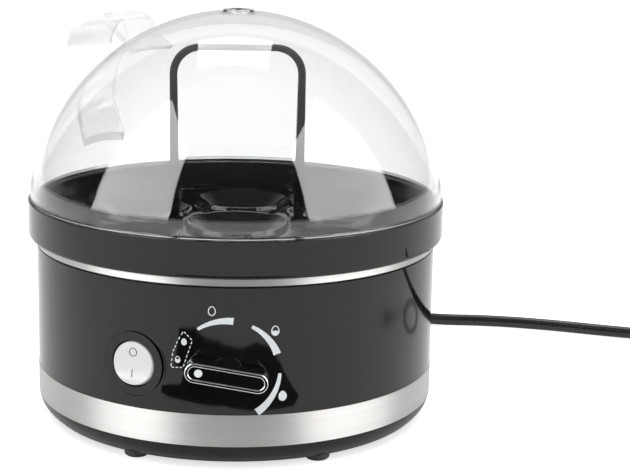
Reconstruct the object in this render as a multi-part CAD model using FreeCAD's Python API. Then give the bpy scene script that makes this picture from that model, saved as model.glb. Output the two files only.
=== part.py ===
"""Seven-egg electric egg cooker: round base, steel water bowl, egg tray and clear domed lid.

Millimetres, +Z up, origin on the table plane at the appliance's vertical axis.
The front, with the timer knob, faces -Y. Azimuths are degrees from the front,
positive towards +X (the right-hand side seen from the front).
"""
import FreeCAD
import Part
import math
import os

V = FreeCAD.Vector
UP = V(0, 0, 1)
FRONT = V(0, -1, 0)

# ---- fits ------------------------------------------------------------------
RUN_FIT = 0.05          # radial clearance of a shaft or pin in its bore
SLIP_FIT = 0.1          # clearance between pieces that are assembled and stay put
BODY_GAP = 0.3          # clearance between pieces of different moving bodies

# ---- stack heights, from the table up --------------------------------------
FOOT_H = 3.0
PAN_H = 8.2
BAND_H = 13.7
HOUSING_H = 53.9
TRIM_H = 3.7
COLLAR_H = 15.9
SKIRT_H = 7.1
DOME_RISE = 75.6

# ---- radii and walls -------------------------------------------------------
HOUSING_R = 88.9
COLLAR_OVERHANG = 3.6
PAN_INSET = 4.1
SHELL_WALL = 2.9
BAND_T = 0.8
PAN_WALL = 2.5
SHEET_T = 0.8
LID_WALL = 2.0
LID_SWELL = 0.6         # 1 gives a half ellipse, less gives a fuller shoulder near the rim
LIP_T = 0.75
TRAY_WALL = 2.0

# ---- bowl, tray and heater -------------------------------------------------
BOWL_DEPTH = 14.4
BOWL_SLOPE = 10.3
GASKET_T = 1.7
WELL_MARGIN = 3.9       # from the outer wells' rims to the dish's wall
WELL_RIM_R = 23.0
WELL_HOLE_R = 11.0
WELL_DROP = 7.0
STEAM_HOLE_R = 2.5
TRAY_HANDLE_H = 81.6
TRAY_HANDLE_HALF = 30.0
TRAY_HANDLE_T = 2.8
TRAY_HANDLE_FOOT_T = 4.4
TRAY_HANDLE_DEPTH = 5.0
TRAY_HANDLE_TURN = 5.0
HEATER_R = 34.0
HEATER_T = 4.0
ELEMENT_RING_R = 26.0
ELEMENT_R = 3.2
STUD_R = 1.5
STUD_PITCH_R = 44.0
SHIELD_R = 50.0

# ---- lid handle ------------------------------------------------------------
LID_HANDLE_AZ = -130.0
LID_HANDLE_W = 26.0
LID_HANDLE_T = 3.0
LID_HANDLE_REACH = 6.6   # beyond the lid's skirt
LID_HANDLE_DROP = 6.6    # from the apex down to the handle's top
VENT_R = 6.75
VENT_HOLE_R = 3.6

# ---- timer knob ------------------------------------------------------------
KNOB_X = 1.0
CONTROL_Z = 43.6
KNOB_HUB_R = 6.5
KNOB_STANDOFF = 0.9     # from the housing's foremost line to the back of the grip
KNOB_BAR_L = 34.0
KNOB_BAR_W = 8.3
KNOB_BAR_H = 9.0
KNOB_TRIM_T = 1.6
KNOB_RECESS = 0.7
KNOB_TURN = 9.0
DOT_R = 1.65
DOT_OFFSET = 11.4
SHAFT_R = 2.5

# ---- mains switch ----------------------------------------------------------
SWITCH_AZ = -25.3
SWITCH_FLANGE_R = 13.5
SWITCH_FLANGE_T = 1.6
SWITCH_BARREL_R = 10.6
SWITCH_DEPTH = 20.0
ROCKER_R = 9.6
ROCKER_TILT = 6.0
ROCKER_PIN_R = 0.8

# ---- feet, screws and board ------------------------------------------------
FOOT_R = 5.3
FOOT_AZ = (-29.0, 29.0, 151.0, -151.0)
FOOT_STEM_R = 2.5
POST_AZ = (-60.0, 60.0, 120.0, -120.0)
POST_R = 4.0
SCREW_R = 1.5
SCREW_HEAD_R = 2.9
BOARD_X = (-12.0, 40.0)
BOARD_BELOW = 17.6       # from the knob's axis down to the board's lower edge
BOARD_H = 34.0
BOARD_T = 1.6
BOARD_DEPTH = 14.9      # from the housing's outer face to the board's front

# ---- mains cord ------------------------------------------------------------
CORD_R = 3.0
BUSH_AZ = 155.0
BUSH_R = 4.9
BUSH_FLANGE_R = 6.2
BUSH_NOSE = 6.0
BOOT_L = 22.0
COIL_R = 31.5
COIL_CENTRE = (243.0, 70.0)
PLUG_R = 19.0
PLUG_BODY_L = 22.0
PLUG_NECK_L = 26.0
PIN_R = 2.4
PIN_L = 19.0
PIN_PITCH = 19.0

# ---- levels and radii that follow ------------------------------------------
Z_PAN = FOOT_H
Z_FLOOR = Z_PAN + PAN_WALL
Z_BAND = Z_PAN + PAN_H
Z_HOUSING = Z_BAND + BAND_H
Z_TRIM = Z_HOUSING + HOUSING_H
Z_COLLAR = Z_TRIM + TRIM_H
Z_LIP = Z_COLLAR + COLLAR_H
Z_DOME = Z_LIP + SKIRT_H
Z_APEX = Z_DOME + DOME_RISE

SHELL_IN_R = HOUSING_R - SHELL_WALL
BAND_R = HOUSING_R + SLIP_FIT
SKIRT_R = BAND_R - BAND_T - SLIP_FIT
COLLAR_R = HOUSING_R + COLLAR_OVERHANG
LID_R = COLLAR_R - LIP_T - BODY_GAP - RUN_FIT
Z_SEAT = Z_LIP - 1.1
Z_LID = Z_SEAT + BODY_GAP
WELL_R = COLLAR_R - 4.5           # upper inner wall of the collar, below the lid's seat
LEDGE_R = WELL_R - 2.0            # inner wall round the tray's rim
MOUTH_R = LEDGE_R - 5.0           # opening of the collar above the bowl
Z_STEP = Z_SEAT - 3.8
Z_LEDGE = Z_STEP - 5.2
BOWL_RIM_R = SHELL_IN_R - 0.4
BOWL_TOP_R = MOUTH_R - 4.8
BOWL_FLOOR_R = BOWL_TOP_R - BOWL_SLOPE
Z_BOWL_RIM = Z_TRIM
Z_BOWL = Z_BOWL_RIM - BOWL_DEPTH
Z_HEATER = Z_BOWL - SLIP_FIT - HEATER_T
Z_ELEMENT = Z_HEATER - SLIP_FIT - ELEMENT_R
TRAY_R = LEDGE_R - 0.4
TRAY_DISH_R = MOUTH_R - 1.4
Z_TRAY = Z_LEDGE - 5.8
POST_PITCH_R = SHELL_IN_R - 7.5
FOOT_PITCH_R = HOUSING_R - PAN_INSET - 1.0 - FOOT_R - 0.1
Z_BUSH = Z_BAND + BAND_H / 2
SWITCH_SEAT = HOUSING_R - 1.3     # flat pocket floor for the switch's flange
BOARD_Y = HOUSING_R - BOARD_DEPTH
BOARD_Z = (CONTROL_Z - BOARD_BELOW, CONTROL_Z - BOARD_BELOW + BOARD_H)
WELL_PITCH_R = TRAY_DISH_R - WELL_MARGIN - WELL_RIM_R - 0.7
Z_SHIELD = Z_ELEMENT - 11.0
Z_BUZZER = Z_BOWL - 11.4          # clear of the bowl's rounded foot
BUSH_END = BAND_R + 1.5 + BUSH_NOSE
BOOT_END = BUSH_END + BOOT_L
CLAMP_AT = SHELL_IN_R - 18.0      # distance of the cord clamp from the axis

# The cord's route on the table: chosen points, from the boot's tip to the coil's rim.
CORD_ROUTE = (
    (56.42, 120.99, 18.05), (67.3, 132.4, 12.2), (83.5, 138.2, 5.2), (103.0, 140.2, 3.0),
    (125.5, 140.2, 3.0), (147.5, 137.0, 3.0), (168.5, 131.6, 3.0), (189.5, 124.8, 3.0),
    (211.0, 118.8, 3.0), (232.0, 111.9, 3.0), (251.6, 105.4, 3.0),
)
# From the top of the coil to the back of the plug's neck.
TAIL_ROUTE = (
    (274.5, 62.0, 8.6), (274.5, 49.0, 9.0), (274.5, 36.0, 13.5), (274.5, 23.5, 19.0),
    (274.5, 11.0, 19.0),
)


# ---- drawing helpers -------------------------------------------------------
def point_rz(pair):
    """A point of a turned profile: radius along X, height along Z."""
    return V(pair[0], 0, pair[1])


def revolve(outline):
    """Turn a closed (radius, height) outline about the vertical axis.

    A pair of pairs in the outline is an arc: its middle point and its end point.
    """
    start = point_rz(outline[0])
    here = start
    edges = []
    for step in outline[1:]:
        if isinstance(step[0], tuple):
            end = point_rz(step[1])
            edges.append(Part.Arc(here, point_rz(step[0]), end).toShape())
        else:
            end = point_rz(step)
            edges.append(Part.LineSegment(here, end).toShape())
        here = end
    if here.distanceToPoint(start) > 1e-6:
        edges.append(Part.LineSegment(here, start).toShape())
    face = Part.Face(Part.Wire(edges))
    return face.revolve(V(0, 0, 0), UP, 360)


def ring(outer, inner, low, high):
    """A plain ring between two heights."""
    return revolve([(inner, low), (outer, low), (outer, high), (inner, high)])


def disc(radius, low, high, x=0.0, y=0.0):
    """An upright cylinder."""
    return Part.makeCylinder(radius, high - low, V(x, y, low))


def block(x0, x1, y0, y1, z0, z1):
    """A box between its limits."""
    return Part.makeBox(x1 - x0, y1 - y0, z1 - z0, V(x0, y0, z0))


def rod(radius, near, far, x=0.0, z=0.0):
    """A cylinder along the front direction, from one distance off the axis to another."""
    return Part.makeCylinder(radius, far - near, V(x, -near, z), FRONT)


def outward(azimuth):
    """The horizontal unit vector that points outwards at an azimuth."""
    angle = math.radians(azimuth)
    return V(math.sin(angle), -math.cos(angle), 0)


def turn(shape, azimuth):
    """A shape drawn at the front, carried round to its azimuth."""
    copy = shape.copy()
    copy.rotate(V(0, 0, 0), UP, azimuth)
    return copy


def around(shape, azimuths):
    """Copies of a shape drawn at the front, one at each azimuth."""
    return [turn(shape, azimuth) for azimuth in azimuths]


def join(shapes):
    """One solid from shapes that overlap."""
    result = shapes[0]
    for other in shapes[1:]:
        result = result.fuse(other)
    return result.removeSplitter()


def group(shapes):
    """Separate identical solids in one node."""
    return Part.makeCompound(shapes)


def corner_arc(before, corner, after, radius):
    """Where a rounded corner starts and ends, and its middle point."""
    back = (before - corner).normalize()
    ahead = (after - corner).normalize()
    half = math.acos(max(-1.0, min(1.0, back.dot(ahead)))) / 2
    reach = radius / math.tan(half)
    bisector = (back + ahead).normalize()
    middle = corner + bisector * (radius / math.sin(half) - radius)
    return corner + back * reach, middle, corner + ahead * reach


def rounded_path(points, radii):
    """Straight runs joined by tangent arcs, one radius for each inner point."""
    edges = []
    here = points[0]
    for before, corner, after, radius in zip(points, points[1:], points[2:], radii):
        start, middle, end = corner_arc(before, corner, after, radius)
        edges.append(Part.LineSegment(here, start).toShape())
        edges.append(Part.Arc(start, middle, end).toShape())
        here = end
    edges.append(Part.LineSegment(here, points[-1]).toShape())
    return edges


def run_radii(points):
    """The largest radii that a route's runs leave room for."""
    radii = []
    for before, corner, after in zip(points, points[1:], points[2:]):
        run_in = corner - before
        run_out = after - corner
        half_turn = run_in.getAngle(run_out) / 2
        radii.append(0.45 * min(run_in.Length, run_out.Length) / math.tan(half_turn))
    return radii


def tube(name, points, radius, radii=None):
    """A round cord or lead along a route, with its bends and its volume checked."""
    points = [V(*point) for point in points]
    radii = radii or run_radii(points)
    path = Part.Wire(rounded_path(points, radii))
    heading = (points[1] - points[0]).normalize()
    section = Part.Wire(Part.Circle(points[0], heading, radius).toShape())
    solid = path.makePipeShell([section], True, False)
    ratio = solid.Volume / (math.pi * radius ** 2 * path.Length)
    print(name, "length %.1f" % path.Length, "tightest bend %.1f" % min(radii), "volume ratio %.4f" % ratio)
    return solid


def slab(edges, depth, direction):
    """A closed outline given a thickness, centred on its own plane."""
    face = Part.Face(Part.Wire(edges))
    solid = face.extrude(direction * depth)
    solid.translate(direction * (-depth / 2))
    return solid


def stadium(length, width, near, far):
    """A bar with round ends, lying along X at the front, about the control's height."""
    half = (length - width) / 2
    r = width / 2
    top = [V(-half, -near, CONTROL_Z + r), V(half, -near, CONTROL_Z + r)]
    low = [V(half, -near, CONTROL_Z - r), V(-half, -near, CONTROL_Z - r)]
    edges = [
        Part.LineSegment(top[0], top[1]).toShape(),
        Part.Arc(top[1], V(half + r, -near, CONTROL_Z), low[0]).toShape(),
        Part.LineSegment(low[0], low[1]).toShape(),
        Part.Arc(low[1], V(-half - r, -near, CONTROL_Z), top[0]).toShape(),
    ]
    return Part.Face(Part.Wire(edges)).extrude(FRONT * (far - near))


# ---- base, housing and trim ------------------------------------------------
def base_pan():
    """Moulded pan that closes the housing from below, with screw and foot holes."""
    top = Z_BAND - SLIP_FIT
    low_r = HOUSING_R - PAN_INSET
    lip_r = SHELL_IN_R - 0.2
    flare = ((HOUSING_R - 1.1, Z_PAN + 0.55 * PAN_H), (HOUSING_R - SLIP_FIT, top - 0.5))
    pan = revolve([
        (0, Z_PAN), (low_r - 1.0, Z_PAN), (low_r, Z_PAN + 1.0), flare,
        (HOUSING_R - SLIP_FIT, top), (lip_r, top), (lip_r, top + 5.9), (lip_r - 2.1, top + 5.9),
        (lip_r - 2.1, top - 4.6), (lip_r - 2.6, Z_FLOOR), (0, Z_FLOOR),
    ])
    clamp_post = disc(3.2, Z_FLOOR - 0.5, Z_BUSH - SLIP_FIT, 0, -(CLAMP_AT))
    for side in (-8.5, 8.5):
        post = clamp_post.copy()
        post.translate(V(side, 0, 0))
        pan = pan.fuse(turn(post, BUSH_AZ))
        hole = disc(SCREW_R + RUN_FIT, Z_FLOOR + 3, Z_BUSH, side, -(CLAMP_AT))
        pan = pan.cut(turn(hole, BUSH_AZ))
    screw_hole = disc(SCREW_R + 0.2, Z_PAN - 1, Z_FLOOR + 1, 0, -POST_PITCH_R)
    head_seat = disc(SCREW_HEAD_R + 0.3, Z_PAN - 1, Z_PAN + 1.4, 0, -POST_PITCH_R)
    foot_hole = disc(FOOT_STEM_R + SLIP_FIT, Z_PAN - 1, Z_FLOOR + 1, 0, -FOOT_PITCH_R)
    cuts = around(screw_hole, POST_AZ) + around(head_seat, POST_AZ) + around(foot_hole, FOOT_AZ)
    cuts.append(turn(rod(BUSH_FLANGE_R + 0.4, SHELL_IN_R - 12, HOUSING_R + 3, 0, Z_BUSH), BUSH_AZ))
    for cutter in cuts:
        pan = pan.cut(cutter)
    for row in range(-3, 4):
        slot = block(row * 9 - 1.5, row * 9 + 1.5, 8, 34, Z_PAN - 1, Z_FLOOR + 1)
        pan = pan.cut(slot)
    return pan.removeSplitter()


def foot(azimuth):
    """Rubber foot: a pad below the pan and a stem with a bead that snaps through it."""
    pad = revolve([
        (0, 0), (FOOT_R - 0.9, 0), (FOOT_R, 0.9), (FOOT_R, Z_PAN), (FOOT_STEM_R, Z_PAN),
        (FOOT_STEM_R, Z_FLOOR + SLIP_FIT), (FOOT_STEM_R + 0.7, Z_FLOOR + 0.5),
        (FOOT_STEM_R - 0.6, Z_FLOOR + 2.2), (0, Z_FLOOR + 2.2),
    ])
    pad.translate(V(0, -FOOT_PITCH_R, 0))
    return turn(pad, azimuth)


def base_screws():
    """Four screws that hold the pan to the housing's posts."""
    head = disc(SCREW_HEAD_R, Z_PAN - 0.9 + 0.4, Z_PAN + 1.4, 0, -POST_PITCH_R)
    recess = block(-1.8, 1.8, -POST_PITCH_R - 0.35, -POST_PITCH_R + 0.35, Z_PAN - 1, Z_PAN + 0.3)
    shank = disc(SCREW_R, Z_PAN + 1.3, Z_PAN + 14, 0, -POST_PITCH_R)
    screw = head.fuse(shank).cut(recess)
    screw = screw.cut(turn_about(recess, V(0, -POST_PITCH_R, 0), 90))
    return group(around(screw.removeSplitter(), POST_AZ))


def turn_about(shape, centre, angle):
    """A copy turned about an upright line through a point."""
    copy = shape.copy()
    copy.rotate(centre, UP, angle)
    return copy


def trim_band():
    """Brushed steel band round the foot of the housing, pierced for the cord's bush."""
    band = ring(BAND_R, BAND_R - BAND_T, Z_BAND, Z_HOUSING - SLIP_FIT)
    return band.cut(turn(rod(BUSH_R + SLIP_FIT, SHELL_IN_R, BAND_R + 3, 0, Z_BUSH), BUSH_AZ))


def housing_shell():
    """Gloss housing: wall, recessed skirt behind the band, top flange, posts and board bosses."""
    skirt_low = Z_BAND + 1.2
    shell = revolve([
        (SHELL_IN_R, skirt_low), (SKIRT_R, skirt_low), (SKIRT_R, Z_HOUSING), (HOUSING_R, Z_HOUSING),
        (HOUSING_R, Z_TRIM - 0.5), (HOUSING_R - 0.5, Z_TRIM), (BOWL_TOP_R + 1.0, Z_TRIM),
        (BOWL_TOP_R + 1.0, Z_TRIM - 2.5), (SHELL_IN_R, Z_TRIM - 2.5),
    ])
    parts = [shell]
    post_top = Z_BOWL - 2.4
    post = disc(POST_R, Z_FLOOR + SLIP_FIT, post_top, 0, -POST_PITCH_R)
    rib = block(-1.1, 1.1, -(SHELL_IN_R + 1), -(POST_PITCH_R + 1), skirt_low + 8, post_top)
    parts += around(post.fuse(rib), POST_AZ)
    pad = rod(SWITCH_FLANGE_R + 1.2, SHELL_IN_R - 1.6, SWITCH_SEAT + 0.6, 0, CONTROL_Z)
    parts.append(turn(pad, SWITCH_AZ))
    inside = disc(HOUSING_R - 0.5, Z_HOUSING, Z_TRIM - 1)
    for x, z in board_bosses():
        parts.append(rod(3.0, BOARD_Y + SLIP_FIT, HOUSING_R, x, z).common(inside))
    shell = join(parts)
    shaft_hole = rod(SHAFT_R + 0.5, BOARD_Y + 8, HOUSING_R + 5, KNOB_X, CONTROL_Z)
    switch_pocket = rod(SWITCH_FLANGE_R + 0.4, SWITCH_SEAT, HOUSING_R + 5, 0, CONTROL_Z)
    switch_hole = rod(SWITCH_BARREL_R + SLIP_FIT, HOUSING_R - 12, HOUSING_R + 5, 0, CONTROL_Z)
    bush_hole = turn(rod(BUSH_R + SLIP_FIT, SHELL_IN_R - 4, HOUSING_R + 3, 0, Z_BUSH), BUSH_AZ)
    pilot = disc(SCREW_R + RUN_FIT, Z_FLOOR - 1, Z_PAN + 15, 0, -POST_PITCH_R)
    cuts = [shaft_hole, turn(switch_pocket, SWITCH_AZ), turn(switch_hole, SWITCH_AZ), bush_hole]
    cuts += around(pilot, POST_AZ)
    cuts += [rod(1.2 + RUN_FIT, BOARD_Y - 1, BOARD_Y + 4.5, x, z) for x, z in board_bosses()]
    for cutter in cuts:
        shell = shell.cut(cutter)
    return shell.removeSplitter()


def board_bosses():
    """Where the control board is screwed to the housing."""
    return (
        (BOARD_X[0] + 4, BOARD_Z[0] + 4), (BOARD_X[1] - 4, BOARD_Z[0] + 4),
        (BOARD_X[0] + 4, BOARD_Z[1] - 4), (BOARD_X[1] - 4, BOARD_Z[1] - 4),
    )


def upper_trim_ring():
    """Narrow steel ring between the housing and the collar, with a shadow groove below it."""
    inner = SHELL_IN_R + 0.2
    return revolve([
        (inner, Z_TRIM), (HOUSING_R - 1.1, Z_TRIM), (HOUSING_R - 1.1, Z_TRIM + 0.4),
        (BAND_R, Z_TRIM + 0.4), (BAND_R, Z_COLLAR - SLIP_FIT), (inner, Z_COLLAR - SLIP_FIT),
    ])


def collar_ring():
    """Gloss collar that clamps the bowl, seats the lid and carries the tray on a ledge."""
    foot_r = SHELL_IN_R - 0.4
    edge = ((COLLAR_R - 0.4, Z_COLLAR + 0.4), (COLLAR_R, Z_COLLAR + 1.3))
    lip_in = COLLAR_R - LIP_T
    z_foot = Z_BOWL_RIM + SHEET_T + GASKET_T
    return revolve([
        (MOUTH_R, z_foot), (foot_r, z_foot), (foot_r, Z_COLLAR), (COLLAR_R - 1.3, Z_COLLAR), edge,
        (COLLAR_R, Z_LIP - 0.3), (COLLAR_R - 0.3, Z_LIP), (lip_in, Z_LIP), (lip_in, Z_SEAT),
        (WELL_R, Z_SEAT), (WELL_R, Z_STEP), (LEDGE_R, Z_STEP), (LEDGE_R, Z_LEDGE), (MOUTH_R, Z_LEDGE),
    ])


# ---- bowl and heater -------------------------------------------------------
def water_bowl():
    """Pressed steel water bowl; its rim is clamped between the housing and the collar."""
    rim_top = Z_BOWL_RIM + SHEET_T
    floor_top = Z_BOWL + SHEET_T
    return revolve([
        (0, Z_BOWL), (BOWL_FLOOR_R - 2.5, Z_BOWL), (BOWL_FLOOR_R, Z_BOWL + 1.2),
        (BOWL_TOP_R - 0.4, Z_BOWL_RIM), (BOWL_RIM_R, Z_BOWL_RIM), (BOWL_RIM_R, rim_top),
        (BOWL_TOP_R - 1.1, rim_top), (BOWL_FLOOR_R - 1.0, Z_BOWL + 1.8),
        (BOWL_FLOOR_R - 2.9, floor_top), (0, floor_top),
    ])


def bowl_gasket():
    """Silicone ring between the bowl's rim and the collar's foot."""
    low = Z_BOWL_RIM + SHEET_T
    return ring(BOWL_RIM_R - 0.6, MOUTH_R + 0.6, low, low + GASKET_T)


def heater_plate():
    """Aluminium plate that spreads the element's heat under the bowl."""
    plate = disc(HEATER_R, Z_HEATER, Z_HEATER + HEATER_T)
    return plate.cut(disc(5.0, Z_HEATER - 1, Z_BOWL + 1))


def heating_element():
    """Sheathed element: most of a ring, with its two cold ends turned down."""
    gap = 28.0
    ring_wire = Part.makeCircle(ELEMENT_RING_R, V(0, 0, Z_ELEMENT), UP, 90 + gap / 2, 450 - gap / 2)
    start = ring_wire.Vertexes[0].Point
    section = Part.Wire(Part.Circle(start, ring_wire.tangentAt(ring_wire.FirstParameter), ELEMENT_R).toShape())
    parts = [Part.Wire(ring_wire).makePipeShell([section], True, False)]
    for x, y in element_ends():
        parts.append(Part.makeSphere(ELEMENT_R, V(x, y, Z_ELEMENT)))
        parts.append(disc(ELEMENT_R, Z_ELEMENT - 7, Z_ELEMENT, x, y))
        parts.append(disc(1.2, Z_ELEMENT - 16, Z_ELEMENT - 6, x, y))
    return join(parts)


def element_ends():
    """The two cold ends of the element, at the back."""
    half = math.radians(14.0)
    x = ELEMENT_RING_R * math.sin(half)
    y = ELEMENT_RING_R * math.cos(half)
    return ((x, y), (-x, y))


def heat_shield():
    """Shallow steel tray that keeps the heat off the electrics."""
    low = Z_SHIELD
    shield = revolve([
        (0, low), (SHIELD_R, low), (SHIELD_R, low + 6), (SHIELD_R - SHEET_T, low + 6),
        (SHIELD_R - SHEET_T, low + SHEET_T), (0, low + SHEET_T),
    ])
    for x, y in element_ends():
        shield = shield.cut(disc(ELEMENT_R + 1.5, low - 1, low + 3, x, y))
    for stud in around(disc(STUD_R + 0.2, low - 1, low + 3, 0, -STUD_PITCH_R), (0, 120, 240)):
        shield = shield.cut(stud)
    return shield


def bowl_studs():
    """Three studs welded under the bowl."""
    low = Z_SHIELD
    stud = disc(STUD_R, low - 5, Z_BOWL, 0, -STUD_PITCH_R)
    sleeve = ring(3.2, STUD_R + RUN_FIT, low + SHEET_T, Z_BOWL - SLIP_FIT)
    sleeve.translate(V(0, -STUD_PITCH_R, 0))
    return group(around(stud, (0, 120, 240))), group(around(sleeve, (0, 120, 240)))


def shield_nuts():
    """Hexagon nuts that hold the shield on the studs."""
    top = Z_SHIELD
    corners = [V(3.2 * math.cos(math.radians(60 * k)), 3.2 * math.sin(math.radians(60 * k)), top - 2.4)
               for k in range(7)]
    nut = Part.Face(Part.makePolygon(corners)).extrude(UP * 2.4)
    nut = nut.cut(disc(STUD_R + RUN_FIT, top - 4, top + 1))
    nut.translate(V(0, -STUD_PITCH_R, 0))
    return group(around(nut, (0, 120, 240)))


def temperature_sensor():
    """Sensor capsule pressed against the underside of the bowl."""
    return disc(4.0, Z_HEATER - 3.4, Z_BOWL - SLIP_FIT)


def sensor_bracket():
    """Spring strap under the sensor, with its feet on the heater plate."""
    low = Z_HEATER - 3.4 - SLIP_FIT - SHEET_T
    strap = [block(-14, 14, -4, 4, low, low + SHEET_T)]
    for side in (-1, 1):
        x0, x1 = sorted((side * 14, side * (14 - SHEET_T)))
        strap.append(block(x0, x1, -4, 4, low, Z_HEATER - SLIP_FIT))
        x0, x1 = sorted((side * 19, side * (14 - SHEET_T)))
        strap.append(block(x0, x1, -4, 4, Z_HEATER - SLIP_FIT - SHEET_T, Z_HEATER - SLIP_FIT))
    return join(strap)


def thermal_fuse():
    """Thermal cut-out against the heater plate."""
    z = Z_HEATER - SLIP_FIT - 2.0
    body = Part.makeCylinder(2.0, 11, V(-5.5, 12, z), V(1, 0, 0))
    wire = Part.makeCylinder(0.5, 19, V(-9.5, 12, z), V(1, 0, 0))
    return join([body, wire])


# ---- electrics -------------------------------------------------------------
def control_board():
    """Timer board, with holes for its four screws."""
    board = block(BOARD_X[0], BOARD_X[1], -BOARD_Y, -(BOARD_Y - BOARD_T), BOARD_Z[0], BOARD_Z[1])
    for x, z in board_bosses():
        board = board.cut(rod(1.2 + SLIP_FIT, BOARD_Y - BOARD_T - 1, BOARD_Y + 1, x, z))
    return board


def board_screws():
    """Four screws that hold the board on its bosses."""
    back = BOARD_Y - BOARD_T
    screws = []
    for x, z in board_bosses():
        head = rod(2.3, back - 1.8, back, x, z)
        screws.append(head.fuse(rod(1.2, back - 0.5, back + 5.5, x, z)).removeSplitter())
    return group(screws)


def potentiometer():
    """Timer potentiometer on the board, with the bushing that guides the knob's shaft."""
    front = BOARD_Y + SLIP_FIT
    body = block(KNOB_X - 6.5, KNOB_X + 6.5, -(front + 6), -front, CONTROL_Z - 6.5, CONTROL_Z + 6.5)
    bushing = rod(4.5, front + 5, front + 7.5, KNOB_X, CONTROL_Z)
    return body.fuse(bushing).cut(rod(SHAFT_R + RUN_FIT, front + 1, front + 9, KNOB_X, CONTROL_Z)).removeSplitter()


def relay():
    """Relay on the back of the board."""
    back = BOARD_Y - BOARD_T - SLIP_FIT
    return block(14, 33, -back, -(back - 15.3), BOARD_Z[0] + 7, BOARD_Z[0] + 22.5)


def capacitor():
    """Suppression capacitor on the back of the board."""
    back = BOARD_Y - BOARD_T - SLIP_FIT
    return block(0, 8, -back, -(back - 12), Z_BUZZER - 24, Z_BUZZER - 7)


def buzzer():
    """Round buzzer on the back of the board, with its sound hole."""
    back = BOARD_Y - BOARD_T - SLIP_FIT
    can = rod(5.5, back - 8, back, 8, Z_BUZZER)
    return can.cut(rod(1.0, back - 9, back - 6, 8, Z_BUZZER))


def terminal_block():
    """Three-way terminal block on the pan's floor."""
    body = block(-14, 14, 46, 62, Z_FLOOR, Z_FLOOR + 13)
    for x in (-9, 0, 9):
        body = body.cut(disc(2.4, Z_FLOOR + 9, Z_FLOOR + 14, x, 54))
        body = body.cut(Part.makeCylinder(1.7, 6, V(x, 45, Z_FLOOR + 6), V(0, 1, 0)))
    return body


def cord_clamp():
    """Bar that grips the cord's sheath inside the base."""
    middle = CLAMP_AT
    bar = block(-12.5, 12.5, -(middle + 3.5), -(middle - 3.5), Z_BUSH, Z_BUSH + 6.5)
    bar = bar.cut(rod(CORD_R + RUN_FIT, middle - 6, middle + 6, 0, Z_BUSH))
    for side in (-8.5, 8.5):
        bar = bar.cut(disc(SCREW_R + 0.2, Z_BUSH - 1, Z_BUSH + 8, side, -middle))
    return turn(bar, BUSH_AZ)


def clamp_screws():
    """Two screws through the clamp bar into its posts."""
    middle = CLAMP_AT
    screws = []
    for side in (-8.5, 8.5):
        head = disc(SCREW_HEAD_R, Z_BUSH + 6.5, Z_BUSH + 8.3, side, -middle)
        shank = disc(SCREW_R, Z_BUSH - 6, Z_BUSH + 7, side, -middle)
        screws.append(turn(head.fuse(shank).removeSplitter(), BUSH_AZ))
    return group(screws)


def leads():
    """Insulated leads between the terminal block, the switch, the board and the element."""
    lead_r = 1.2
    front = 46 - SLIP_FIT
    z = Z_FLOOR + 6
    tab = outward(SWITCH_AZ) * (HOUSING_R - SWITCH_DEPTH - 7.4)
    pins = element_ends()
    pin_low = Z_ELEMENT - 16 - 0.6
    routes = {
        "lead_live": [(-9, front, z), (-9, 30, z), (-30, 6, z), (-33, -24, z + 4),
                      (tab.x + 3, tab.y + 16, 30), (tab.x, tab.y, CONTROL_Z - 6)],
        "lead_neutral": [(9, front, z), (9, 34, z), (16, 20, z + 2), (pins[0][0], pins[0][1], pin_low - 18.4),
                         (pins[0][0], pins[0][1], pin_low)],
        "lead_heater": [(-20, -(BOARD_Y - 17.5), CONTROL_Z + 8.4),
                        (-16, -(BOARD_Y - 20.0), Z_SHIELD - 8),
                        (-12, -10, Z_SHIELD - 20), (-pins[0][0], pins[0][1], pin_low - 18.4),
                        (-pins[0][0], pins[0][1], pin_low)],
    }
    return {name: tube(name, points, lead_r) for name, points in routes.items()}


# ---- mains switch ----------------------------------------------------------
def switch_body():
    """Round flange and barrel of the mains switch, with the cavity for the rocker."""
    seat = SWITCH_SEAT + RUN_FIT
    face = seat + SWITCH_FLANGE_T
    back = HOUSING_R - SWITCH_DEPTH
    flange = rod(SWITCH_FLANGE_R, seat, face, 0, CONTROL_Z)
    barrel = rod(SWITCH_BARREL_R, back, face, 0, CONTROL_Z)
    cavity = rod(ROCKER_R + 0.35, rocker_pivot() - 6.0, face + 1, 0, CONTROL_Z)
    body = join([flange, barrel]).cut(cavity)
    pin_y = rocker_pivot()
    pin_hole = Part.makeCylinder(ROCKER_PIN_R, 30, V(-15, -pin_y, CONTROL_Z), V(1, 0, 0))
    pin_hole = pin_hole.common(rod(SWITCH_BARREL_R - 0.2, back, face, 0, CONTROL_Z))
    return turn(body.cut(pin_hole).removeSplitter(), SWITCH_AZ)


def rocker_pivot():
    """How far the rocker's pin lies from the appliance's axis."""
    return HOUSING_R - 2.5


def rocker_pin():
    """Pin that the rocker tips on."""
    pin = Part.makeCylinder(ROCKER_PIN_R, 30, V(-15, -rocker_pivot(), CONTROL_Z), V(1, 0, 0))
    reach = rod(SWITCH_BARREL_R - 0.2, HOUSING_R - SWITCH_DEPTH, HOUSING_R + 2, 0, CONTROL_Z)
    return turn(pin.common(reach), SWITCH_AZ)


def rocker():
    """Rocker: a slice of a ball about its pin, with a dished face; its top half is pressed in."""
    pivot = V(0, -rocker_pivot(), CONTROL_Z)
    ball = Part.makeSphere(ROCKER_R, pivot)
    keep = rod(ROCKER_R, rocker_pivot() - 3.6, rocker_pivot() + 3.7, 0, CONTROL_Z)
    dish = Part.makeCylinder(60, 40, V(-20, -(rocker_pivot() + 3.3 + 60), CONTROL_Z), V(1, 0, 0))
    bore = Part.makeCylinder(ROCKER_PIN_R + RUN_FIT, 30, V(-15, pivot.y, pivot.z), V(1, 0, 0))
    button = ball.common(keep).cut(dish).cut(bore).removeSplitter()
    button.rotate(pivot, V(1, 0, 0), -ROCKER_TILT)
    return turn(button, SWITCH_AZ)


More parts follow.
